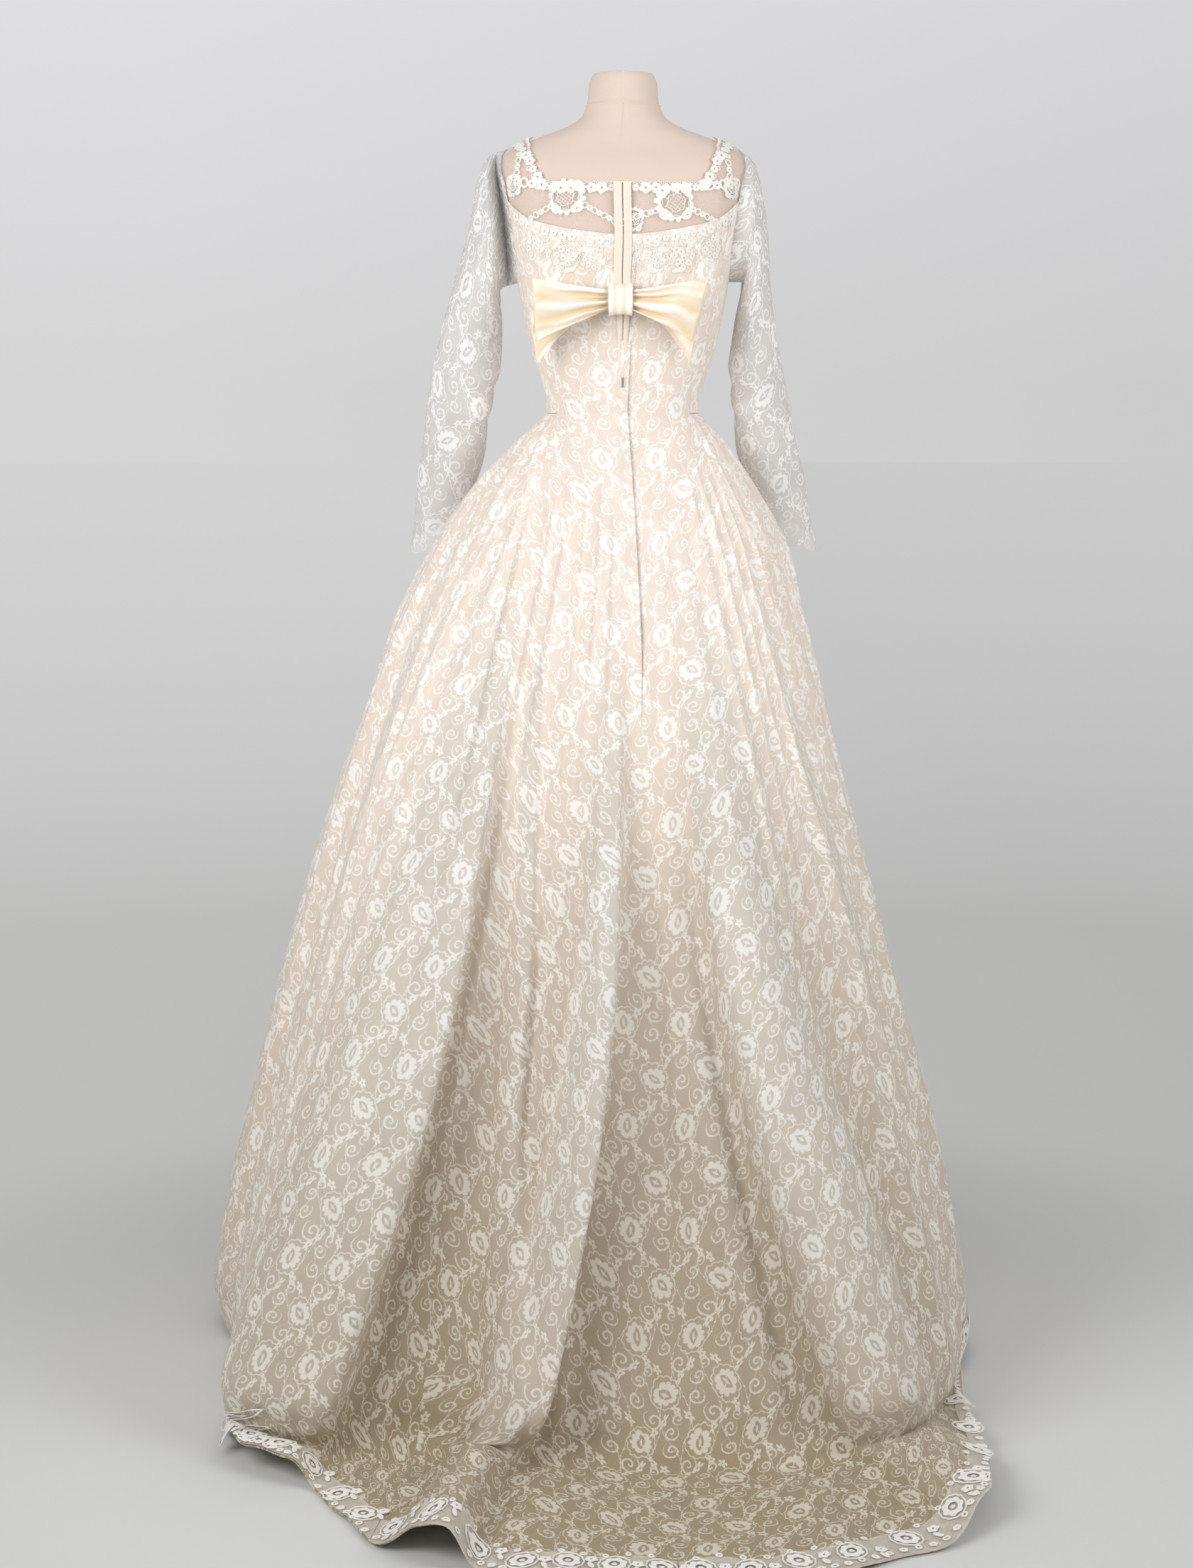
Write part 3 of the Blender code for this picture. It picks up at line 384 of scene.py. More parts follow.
def plainLook(name, colour, blotchAndShadeColour, roughness, fine, bumpHeight, sheen=0.0, metallic=0.0):
    # Plain woven or painted face: slow unevenness of colour, mixed with painted shade where a piece carries a
    # paintedShade attribute (an even value darkens it evenly), and a fine grain that catches the light
    look = bpy.data.materials.new(name)
    look.use_nodes = True
    tree = look.node_tree
    add = functools.partial(addNode, tree)
    shader = tree.nodes["Principled BSDF"]
    place = add("TexCoord", out=3)
    slow = add("TexNoise", place, None, 9.0, 3.0)
    paintedShade = add("Attribute", out=2, attribute_name="paintedShade")
    paintedShade = add("Math", slow, 0.35, add("Math", paintedShade, -0.12, operation="ADD"), operation="MULTIPLY_ADD", use_clamp=True)
    colour = add("Mix", paintedShade, None, None, None, None, None, linear(colour), linear(blotchAndShadeColour), out=2, data_type="RGBA")
    tree.links.new(colour, shader.inputs["Base Color"])
    shader.inputs["Roughness"].default_value = roughness
    shader.inputs["Metallic"].default_value = metallic
    shader.inputs["Sheen Weight"].default_value = sheen
    grain = add("TexNoise", add("VectorMath", place, fine, operation="MULTIPLY"), None, 1.0, 2.0)
    bump = tree.nodes.new("ShaderNodeBump")
    bump.inputs["Strength"].default_value = 0.35
    bump.inputs["Distance"].default_value = bumpHeight
    tree.links.new(grain, bump.inputs["Height"])
    tree.links.new(bump.outputs[0], shader.inputs["Normal"])
    return look


# Tones: plain, painted shade and lift (partly painted crest light), for the ground and then the thread
laceOnSatin = laceLook("corded cotton lace over champagne satin",
                       [("#EFE0D2", "#A08F72", "#BEBBB3"), ("#FFFCF8", "#D8D0BF", "#E9E8E6")])
sheerLace = laceLook("sheer corded lace on net", [("#FBF7F4", "#DDD3C6", "#FBF7F4"), ("#FFFFFE", "#ECE5DA", "#FFFFFE")], sheer=0.50)
# Linen: dull, slubbed plain weave, threads about 0.6 mm apart
linen = plainLook("natural linen over the form", "#E7D4C7", "#D4BCAC", 0.85, (420.0, 420.0, 1300.0), 0.0004, sheen=0.2)
# Satin: long floats laid one way give a soft sheen, so the grain is fine and stretched. Its golden second colour is
# painted shade in the bow's pleat hollows, and the slow unevenness
satin = plainLook("ivory duchess satin", "#FFFBF3", "#F0D6B0", 0.26, (160.0, 900.0, 1600.0), 0.00012, sheen=0.15)
placketSatin = plainLook("cream satin zip facing", "#F4E8DB", "#D9C6B0", 0.45, (160.0, 900.0, 1600.0), 0.00012, sheen=0.15)
hemSatin = plainLook("ivory satin lining", "#F1E7D8", "#CDB590", 0.42, (160.0, 900.0, 1600.0), 0.00012, sheen=0.15)
paintedSteel = plainLook("grey painted steel", "#9A9B9D", "#8A8B8D", 0.45, (300.0, 300.0, 300.0), 0.0001)
zipMetal = plainLook("nickel zip metal", "#C9C5BC", "#B5B0A6", 0.3, (500.0, 500.0, 500.0), 0.00005, metallic=1.0)
for node in ("form_pole", "form_base"):
    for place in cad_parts[node].material_slots:
        place.material = paintedSteel
print("materials ready")

# The form's own surface, repeated from the CAD so that every cloth lies on it
formShape = {
    "rows": [  # height, half width, reach to the back, reach to the front, squareness
        (0.860, 0.145, 0.092, 0.097, 2.2), (0.950, 0.152, 0.097, 0.105, 2.2), (1.050, 0.134, 0.092, 0.098, 2.2),
        (1.110, 0.108, 0.083, 0.088, 2.2), (1.165, 0.095, 0.079, 0.083, 2.2), (1.190, 0.097, 0.080, 0.086, 2.3),
        (1.238, 0.112, 0.086, 0.097, 2.5), (1.311, 0.128, 0.092, 0.113, 2.9), (1.361, 0.136, 0.095, 0.117, 3.2),
        (1.410, 0.1445, 0.096, 0.105, 3.4), (1.450, 0.151, 0.091, 0.086, 3.4), (1.478, 0.154, 0.078, 0.066, 3.2),
        (1.492, 0.148, 0.068, 0.056, 2.8), (1.503, 0.130, 0.061, 0.051, 2.5), (1.513, 0.104, 0.056, 0.048, 2.3),
        (1.524, 0.074, 0.051, 0.046, 2.1), (1.535, 0.056, 0.048, 0.045, 2.0), (1.552, 0.0475, 0.046, 0.044, 2.0),
        (1.585, 0.0415, 0.043, 0.041, 2.0), (1.590, 0.0385, 0.040, 0.038, 2.0),
    ],
    "neckEdge": [(0, 1.449), (24, 1.449), (30, 1.453), (34, 1.466), (39, 1.483), (50, 1.497), (64, 1.504),
                 (90, 1.510), (116, 1.504), (130, 1.496), (141, 1.480), (148, 1.466), (156, 1.460), (180, 1.459)],
    "satinEdge": [(0, 1.386), (17, 1.393), (44, 1.405), (60, 1.420), (70, 1.430),
                  (110, 1.430), (122, 1.415), (140, 1.400), (180, 1.396)],
    "waist": 1.165, "holeAngle": 21.0, "holeHeight": 1.413, "holeHalf": 0.083, "princess": 58.0,
    "bodiceOut": 0.0026, "netOut": 0.0020, "bodyOut": -0.0014,
}


def formPoint(angle, height):
    # Superellipse section of the form at a height; the angle runs from the centre back to +X
    rows = list(zip(*formShape["rows"]))
    half, back, front, square = (smoothLine(rows[0], column, height) for column in rows[1:])
    sine, cosine = np.sin(angle), np.cos(angle)
    reach = np.where(cosine > 0, back, front)
    x = half * np.sign(sine) * np.abs(sine) ** (2 / square)
    y = -reach * np.sign(cosine) * np.abs(cosine) ** (2 / square)
    return np.stack([x, y, height + 0 * x], axis=-1)


def onForm(angle, height, out):
    # Form point moved out along the form's own normal, which comes from four points round it
    angle, height = np.broadcast_arrays(np.asarray(angle, float), np.asarray(height, float))
    along = formPoint(angle + 0.012, height) - formPoint(angle - 0.012, height)
    up = formPoint(angle, height + 0.0012) - formPoint(angle, height - 0.0012)
    normal = np.cross(along, up)
    normal /= np.linalg.norm(normal, axis=-1, keepdims=True)
    return formPoint(angle, height) + normal * np.broadcast_to(out, angle.shape)[..., None]


def holeEdge(angle, side):
    # Height of the armhole's upper (side 1) or lower (side -1) edge at an angle in degrees
    share = 1 - ((np.abs(angle) - 90) / formShape["holeAngle"]) ** 2
    edge = formShape["holeHeight"] + side * formShape["holeHalf"] * np.sqrt(np.clip(share, 0, 1))
    return np.where(share > 0, edge, -side * 9.0)


def bodiceTop(angle):
    return np.minimum(straightLine(formShape["satinEdge"], np.abs(angle)), holeEdge(angle, -1))


def yokeFoot(angle):
    return np.maximum(straightLine(formShape["satinEdge"], np.abs(angle)), holeEdge(angle, 1)) + 0.001


def angleAt(x, height):
    # Angle in degrees of the back's point at a width and height
    rows = list(zip(*formShape["rows"]))
    share = np.clip(np.abs(x) / smoothLine(rows[0], rows[1], height), 0, 1) ** (smoothLine(rows[0], rows[4], height) / 2)
    return np.degrees(np.arcsin(share)) * np.sign(x)


def buildForm():
    # Linen body: close rings up the form, with a piped neckband seam and a seam down the centre back
    heights = np.concatenate([np.linspace(0.86, 1.44, 40), np.linspace(1.446, 1.545, 34), np.linspace(1.5465, 1.5545, 17),
                              np.linspace(1.557, 1.583, 10), np.linspace(1.585, 1.5885, 5)])[:, None]
    half = np.concatenate([[0, 0.6, 1.2, 2, 3], np.arange(5, 181, 5)])
    angle = np.radians(np.concatenate([half, 360 - half[:0:-1]]))[None, :]
    out = formShape["bodyOut"] + 0.0011 * np.exp(-((heights - 1.5505) / 0.0011) ** 2)
    out = out - 0.0006 * np.exp(-((heights - 1.5532) / 0.0009) ** 2)
    seam = np.minimum(angle, 2 * math.pi - angle)
    out = out - 0.0009 * np.exp(-(seam / 0.014) ** 2) * (heights < 1.5495) + 0.0003 * np.exp(-((seam - 0.045) / 0.02) ** 2)
    points = onForm(angle, heights, out)
    rounded = np.linspace(0, 1, 7)[1:, None, None]
    middle = points[-1].mean(axis=0)
    cap = middle + (points[-1] - middle) * np.sqrt(np.clip(1 - rounded ** 2 * 0.06, 0, 1)) * (1 - 0.035 * rounded)
    cap[..., 2] = points[-1, :, 2] + 0.0015 * np.sin(rounded[..., 0] * math.pi / 2)
    flat = np.array([0.75, 0.4, 0.02])[:, None, None]
    lid = cap[-1].mean(axis=0) + (cap[-1] - cap[-1].mean(axis=0)) * flat
    foot = points[0].mean(axis=0) + (points[0] - points[0].mean(axis=0)) * np.array([0.02, 0.6])[:, None, None]
    points = np.concatenate([foot, points, cap, lid])
    body = makePiece("linenForm", points, linen, around=True, values={"paintedShade": 0.25})
    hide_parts("form_torso")
    return body


def formPatch(angles, low, high, rows, out):
    share = np.linspace(0, 1, rows)[:, None]
    height = low[None, :] + (high - low)[None, :] * share
    return onForm(np.radians(angles)[None, :], height, out)


def bodiceEase(points, angle):
    # Slight pulls in the fitted cloth: long soft ripples that run up and slant, under 1 mm
    x, z = points[..., 0], points[..., 2]
    wave = np.sin(z * 70 + 5 * np.sin(x * 23)) * 0.5 + np.sin(z * 41 - x * 60 + 1.3) * 0.5
    wave = wave * np.exp(-((z - 1.195) / 0.05) ** 2) + 0.35 * np.sin(x * 90 + z * 22) * np.exp(-((z - 1.33) / 0.08) ** 2)
    return points + normalsOf(points) * (0.0006 + 0.0006 * wave)[..., None]


def buildBodice():
    seam = 0.5 / 90
    made = []
    for name, node, first, last, count in (("bodiceSideLeft", "bodice_side_left", -90, -58, 26),
                                           ("bodiceSideRight", "bodice_side_right", 58, 90, 26),
                                           ("bodiceFront", "bodice_front", 90, 270, 120)):
        angles = np.linspace(first + seam * 30, last - seam * 30, count)
        folded = np.where(angles > 180, 360 - angles, angles)
        top = bodiceTop(folded)
        points = formPatch(angles, np.full(count, formShape["waist"] + 0.0006), top, 64, formShape["bodiceOut"])
        points = bodiceEase(points, angles)
        places = clothPlaces(points) + np.array([0.031 * len(made), 0.2])
        part = makePiece(name, points, laceOnSatin, places, wall=0.0014,
                         values={"paintedShade": 0.0, "lift": 0.0})
        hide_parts(node)
        made.append(part)


buildForm()
buildBodice()
print("form and bodice ready")

# The skirt, repeated from the CAD: where the cloth meets the floor, how it falls, and its folds
skirtShape = {
    "plan": [  # degrees at the waist, floor x and y, then the lying reach x and y
        (-180, -0.02, 0.370, 0.000, 0.00), (-140, -0.27, 0.300, 0.000, 0.00), (-113, -0.46, 0.130, 0.000, 0.00),
        (-96, -0.515, -0.080, 0.000, 0.00), (-84, -0.475, -0.300, 0.000, 0.00), (-74, -0.430, -0.540, 0.000, -0.09),
        (-66, -0.335, -0.600, -0.005, -0.10), (-58, -0.240, -0.605, -0.030, -0.22), (-30, -0.115, -0.630, -0.020, -0.28),
        (0, 0.050, -0.640, 0.000, -0.29), (28, 0.185, -0.630, 0.030, -0.27), (46, 0.285, -0.585, 0.080, -0.22),
        (58, 0.335, -0.520, 0.060, -0.19), (74, 0.395, -0.360, 0.010, -0.06), (93, 0.425, -0.080, 0.000, 0.00),
        (113, 0.370, 0.140, 0.000, 0.00), (140, 0.240, 0.300, 0.000, 0.00),
    ],
    "centreBack": 9, "leftPrincess": 7, "rightPrincess": 12,
    "fall": [  # share of the length, height, then the spread at the left, right and back
        (0.00, 1.165, 0.00, 0.00, 0.000), (0.03, 1.130, 0.08, 0.08, 0.045), (0.07, 1.085, 0.19, 0.18, 0.100),
        (0.13, 1.020, 0.30, 0.29, 0.170), (0.22, 0.920, 0.43, 0.37, 0.265), (0.32, 0.800, 0.54, 0.46, 0.370),
        (0.45, 0.645, 0.66, 0.58, 0.495), (0.58, 0.490, 0.76, 0.69, 0.605), (0.70, 0.340, 0.85, 0.80, 0.710),
        (0.82, 0.190, 0.94, 0.90, 0.820), (0.90, 0.095, 0.98, 0.95, 0.890), (0.95, 0.045, 1.00, 0.98, 0.935),
        (0.98, 0.018, 1.00, 1.00, 0.970), (1.00, 0.0021, 1.00, 1.00, 1.000),
    ],
    "length": 1.27,
    "folds": [  # crest at the waist, knee and floor, reach left and right, rise, start, lift tone (partly painted crest light), lean of the lip
        (-0.27, -0.345, -0.430, 0.130, 0.034, 0.070, 0.10, 1.0, 0.036), (-0.45, -0.44, -0.52, 0.030, 0.026, 0.014, 0.40, 0.5, 0.008),
        (-0.12, -0.10, -0.10, 0.085, 0.085, 0.018, 0.02, 0.1, 0.0), (-0.25, -0.21, -0.21, 0.022, 0.016, 0.020, 0.10, 0.7, 0.006),
        (-0.03, -0.078, -0.195, 0.046, 0.024, 0.085, 0.20, 0.9, 0.038), (0.13, 0.150, 0.262, 0.055, 0.078, 0.076, 0.12, 0.8, -0.034),
        (0.06, 0.052, 0.130, 0.022, 0.022, 0.012, 0.36, 0.5, 0.0), (0.42, 0.39, 0.41, 0.075, 0.060, 0.034, 0.10, 0.3, 0.012),
        (0.62, 0.60, 0.60, 0.085, 0.070, 0.024, 0.06, 0.3, 0.012), (-0.68, -0.68, -0.70, 0.070, 0.075, 0.018, 0.06, 0.3, -0.012),
        (-0.90, -0.90, -0.91, 0.080, 0.070, 0.020, 0.06, 0.3, 0.012), (-1.12, -1.12, -1.12, 0.060, 0.070, 0.025, 0.06, 0.3, -0.012),
        (-1.33, -1.33, -1.33, 0.075, 0.065, 0.022, 0.10, 0.3, 0.014), (1.42, 1.42, 1.42, 0.070, 0.060, 0.023, 0.08, 0.3, 0.012),
        (1.21, 1.21, 1.21, 0.060, 0.070, 0.026, 0.06, 0.3, -0.012), (1.04, 1.04, 1.04, 0.075, 0.065, 0.022, 0.10, 0.3, 0.012),
        (0.87, 0.87, 0.87, 0.055, 0.060, 0.023, 0.06, 0.3, -0.012), (0.50, 0.50, 0.50, 0.200, 0.200, 0.0075, 0.60, 0.0, 0.0),
    ],
    "foldEdge": 3.2, "floorRise": 0.45,
    "scallop": 0.007, "scallops": 44, "shortAt": 0.50, "shortHalf": 0.10, "short": 0.030,
    "gathers": 26, "gatherRise": 0.0035, "gatherStart": 0.30, "gatherDown": 0.50,
}


def planPlaces():
    # Floor distances of the plan's rows, zero at the centre back, and the whole way round
    spots = np.array([row[1:3] for row in skirtShape["plan"]])
    places = np.concatenate([[0], np.cumsum(np.linalg.norm(np.roll(spots, -1, axis=0) - spots, axis=1))])
    return places[:-1] - places[skirtShape["centreBack"]], places[-1]


floorPlaces, wholeRound = planPlaces()


def planValue(column, at):
    values = np.array([row[column] for row in skirtShape["plan"]], float)
    turn = 360 if column == 0 else 0
    places = np.concatenate([floorPlaces - wholeRound, floorPlaces, floorPlaces + wholeRound])
    return smoothLine(places, np.concatenate([values - turn, values, values + turn]), at)


def planAt(angle):
    fine = np.linspace(-1.6, 1.6, 1601)
    return float(np.interp(angle, planValue(0, fine), fine))


def skirtReach(at):
    # How much longer than the hanging skirt the cloth is at a floor distance
    return 1 + np.hypot(planValue(3, at), planValue(4, at)) / skirtShape["length"]


def skirtBase(at, down):
    # Unfolded skirt: 'at' is the floor distance, 'down' the share of its length (1 where it meets the floor)
    turned = np.radians(planValue(0, at))
    waist = onForm(turned, np.full_like(turned, formShape["waist"]), formShape["bodiceOut"])
    floor = np.stack([planValue(1, at), planValue(2, at)], axis=-1)
    lying = np.stack([planValue(3, at), planValue(4, at)], axis=-1)
    columns = list(zip(*skirtShape["fall"]))
    height, left, right, back = (smoothLine(columns[0], column, np.minimum(down, 1)) for column in columns[1:])
    side = left + (right - left) * (0.5 + 0.5 * np.sin(turned))
    spread = side + (back - side) * np.clip(np.cos(turned), 0, 1) ** 0.7
    flat = waist[..., :2] + (floor - waist[..., :2]) * spread[..., None]
    length = np.hypot(lying[..., 0], lying[..., 1])[..., None] + 1e-9
    flat = flat + lying / length * (np.maximum(down - 1, 0) * skirtShape["length"])[..., None]
    return np.concatenate([flat, height[..., None]], axis=-1)


def foldSum(at, down):
    # Rise and sideways lean of all folds together in metres, and each place's lift tone: partly lace lifted off the
    # lining, partly painted light on the crests.
    # A fold is a flat-topped hump; leaning its top sideways makes one side a long slope and the other a lip that overhangs
    rise, bulge, liftAndCrestLight = np.zeros_like(at), np.zeros_like(at), np.zeros_like(at)
    for waist, knee, floor, left, right, height, start, liftAndCrestLightShare, lean in skirtShape["folds"]:
        crest = smoothLine([0, 0.5, 1.0, 1.3], [waist, knee, floor, floor + 0.3 * (floor - knee)], down)
        away = (at - crest + wholeRound / 2) % wholeRound - wholeRound / 2
        shape = np.exp(-np.abs(np.where(away < 0, away / left, away / right)) ** skirtShape["foldEdge"])
        grown = smoothStep((down - start) / (0.75 - start))
        rise += height * grown * shape
        bulge += lean * shape * grown
        liftAndCrestLight = np.maximum(liftAndCrestLight, liftAndCrestLightShare * smoothStep((shape - 0.30) / 0.40) * smoothStep((down - start) / 0.3))
    gathered = np.clip(1 - down / skirtShape["gatherDown"], 0, 1) * np.clip(down / 0.03, 0, 1)
    away = np.abs((at + wholeRound / 2) % wholeRound - wholeRound / 2)
    aside = np.clip((away - skirtShape["gatherStart"]) / 0.12, 0, 1)
    rise += skirtShape["gatherRise"] * gathered * aside * (1 + np.cos(2 * math.pi * skirtShape["gathers"] * at / wholeRound))
    return rise, bulge, liftAndCrestLight


# Smaller folds, listed one by one: crest at the waist, knee and floor, half width, rise, start and end down the skirt
smallFolds = [
    (-0.035, -0.10, -0.13, 0.010, 0.0030, 0.05, 1.15), (-0.075, -0.15, -0.235, 0.012, 0.0040, 0.02, 1.20),
    (-0.125, -0.185, -0.29, 0.009, 0.0030, 0.02, 0.80), (-0.165, -0.27, -0.33, 0.011, 0.0045, 0.02, 1.10),
    (-0.21, -0.31, -0.39, 0.012, 0.0050, 0.02, 1.05), (-0.30, -0.39, -0.45, 0.013, 0.0045, 0.04, 1.04),
    (-0.34, -0.48, -0.55, 0.014, 0.0050, 0.02, 1.02), (-0.39, -0.56, -0.61, 0.015, 0.0060, 0.03, 1.00),
    (-0.52, -0.60, -0.66, 0.012, 0.0040, 0.04, 0.95), (-0.74, -0.78, -0.80, 0.014, 0.0050, 0.05, 1.00),
    (0.030, 0.02, 0.06, 0.010, 0.0030, 0.10, 1.10), (0.075, 0.095, 0.17, 0.011, 0.0035, 0.05, 1.15),
    (0.115, 0.165, 0.22, 0.010, 0.0035, 0.04, 1.10), (0.175, 0.23, 0.31, 0.011, 0.0045, 0.02, 1.12),
    (0.225, 0.275, 0.35, 0.012, 0.0045, 0.02, 1.08), (0.275, 0.31, 0.38, 0.010, 0.0040, 0.03, 1.04),
    (0.32, 0.35, 0.44, 0.012, 0.0050, 0.02, 1.02), (0.37, 0.44, 0.49, 0.012, 0.0050, 0.03, 1.00),
    (0.47, 0.50, 0.53, 0.013, 0.0045, 0.03, 0.96), (0.55, 0.55, 0.56, 0.012, 0.0050, 0.05, 0.90),
    (0.68, 0.66, 0.67, 0.013, 0.0050, 0.04, 0.98), (0.76, 0.74, 0.75, 0.014, 0.0060, 0.05, 0.95),
    (-0.82, -0.84, -0.85, 0.013, 0.0050, 0.03, 0.97), (-1.00, -1.01, -1.02, 0.015, 0.0060, 0.04, 0.99),
    (-1.22, -1.22, -1.23, 0.014, 0.0055, 0.04, 0.96), (1.12, 1.13, 1.12, 0.014, 0.0055, 0.05, 0.98),
    (1.31, 1.31, 1.32, 0.014, 0.0055, 0.04, 0.97), (0.95, 0.95, 0.96, 0.013, 0.0050, 0.04, 0.95),
]
# Breaks where the hem meets the floor: floor distance, share down, half width, half height and depth
hemBreaks = [
    (-0.47, 0.955, 0.060, 0.022, -0.010), (-0.39, 0.975, 0.050, 0.018, 0.009), (-0.29, 0.965, 0.050, 0.020, -0.010),
    (-0.20, 0.985, 0.055, 0.018, 0.010), (-0.10, 0.970, 0.050, 0.016, -0.008), (0.00, 0.985, 0.050, 0.018, 0.009),
    (0.10, 0.968, 0.050, 0.018, -0.009), (0.20, 0.980, 0.055, 0.018, 0.010), (0.31, 0.962, 0.050, 0.020, -0.010),
    (0.40, 0.980, 0.050, 0.018, 0.008), (-0.60, 0.965, 0.050, 0.020, -0.006), (0.52, 0.965, 0.050, 0.018, -0.006),
    (-0.245, 1.060, 0.060, 0.020, 0.007), (-0.06, 1.090, 0.060, 0.022, 0.008), (0.12, 1.070, 0.055, 0.020, 0.007),
    (0.27, 1.100, 0.050, 0.022, 0.006), (-0.16, 1.140, 0.060, 0.022, 0.006), (0.05, 1.160, 0.060, 0.020, 0.005),
]


def skirtPoint(at, down, out=0.0):
    # Folded skirt: each fold stands out from the base, and up where the cloth lies on the floor.
    # Returns the points, the painted shade and the lift tone (partly lace lifted off the lining, partly painted light
    # on the crests)
    at, down = np.broadcast_arrays(np.asarray(at, float), np.asarray(down, float))
    rise, bulge, liftAndCrestLight = foldSum(at, down)
    small = np.zeros_like(rise)
    for waist, knee, floor, half, height, start, end in smallFolds:
        crest = smoothLine([0, 0.5, 1.0, 1.3], [waist, knee, floor, floor + 0.2 * (floor - knee)], down)
        away = (at - crest + wholeRound / 2) % wholeRound - wholeRound / 2
        wide = half * (0.8 + 0.9 * np.clip(down, 0, 1))
        grown = smoothStep((down - start) / 0.14) * smoothStep((end - down) / 0.12)
        small += 1.7 * height * grown * np.exp(-np.abs(away / np.where(away * crest > 0, 1.5 * wide, 0.6 * wide)) ** 1.6)
    for place, low, half, tall, depth in hemBreaks:
        small += depth * np.exp(-((at - place) / half) ** 2 - ((down - low) / tall) ** 2)
    slow = np.sin(at * 13.0 + 2.2 * np.sin(down * 5.1)) * np.sin(down * 7.3 + at * 4.1 + 0.7)
    small += 0.0022 * slow * smoothStep((down - 0.1) / 0.3)
    spot = skirtBase(at, down)
    step = 0.004
    along = skirtBase(at + step, down) - skirtBase(at - step, down)
    flatAlong = along[..., :2] / np.linalg.norm(along[..., :2], axis=-1, keepdims=True)
    outward = np.stack([flatAlong[..., 1], -flatAlong[..., 0]], axis=-1)
    lie = smoothStep((down - 0.90) / 0.16)
    local = np.linalg.norm(along[..., :2], axis=-1) / (2 * step)
    spot[..., :2] += outward * ((rise + small + out) * (1 - lie))[..., None]
    spot[..., :2] += flatAlong * (bulge * local * (1 - lie))[..., None]
    spot[..., 2] += (rise * skirtShape["floorRise"] + np.maximum(small, -0.2 * rise) + out) * lie
    # Painted shade: darker lower down, golden in the valleys near the back, in a band round floor distance -0.40 low
    # down, and darkest where the cloth lies on the floor
    around = np.exp(-(at / 0.42) ** 4) * smoothStep((down - 0.22) / 0.35)
    low = smoothStep((down - 0.15) / 0.8)
    band = np.exp(-((at + 0.40) / 0.16) ** 4) * smoothStep((down - 0.45) / 0.35)
    paintedShade = 0.50 * low + 0.22 * around * smoothStep((0.044 - rise) / 0.011) + 0.20 * band + 0.33 * lie
    paintedShade = np.clip(paintedShade + 0.10 * around * smoothStep((down - 0.62) / 0.25), 0, 1)
    # The lift tone, partly painted crest light, stays near the back and weakens lower down and on the floor
    return spot, paintedShade, liftAndCrestLight * np.exp(-(at / 0.6) ** 4) * (0.56 - 0.10 * low - 0.3 * smoothStep((down - 0.55) / 0.4) - 0.1 * lie)


def laceEdge(at):
    # How far down the lace's hem lies, with its scallops and the stretch that stops short of the satin
    wave = 0.5 - 0.5 * np.cos(2 * math.pi * skirtShape["scallops"] * at / wholeRound)
    short = skirtShape["short"] * np.exp(-((at - skirtShape["shortAt"]) / skirtShape["shortHalf"]) ** 4)
    return skirtReach(at) - skirtShape["scallop"] * wave - short


def panelGrid(first, last, columns, rows):
    # Columns lie closer where the folds turn: each row is shared out by its own length over the folds
    share = np.linspace(1, 0, rows)[:, None]
    fine = np.linspace(first, last, 420)[None, :]
    line = skirtPoint(fine, share * laceEdge(fine))[0]
    length = np.linalg.norm(np.diff(line, axis=1), axis=-1) + 0.35 * (last - first) / 419
    length = np.concatenate([np.zeros((rows, 1)), np.cumsum(length, axis=1)], axis=1)
    even = np.linspace(0, 1, columns)
    at = np.stack([np.interp(even * row[-1], row, fine[0]) for row in length])
    return at, share * laceEdge(at)


centreLap = {"reach": 0.011, "lift": 0.0042, "end": 0.36}


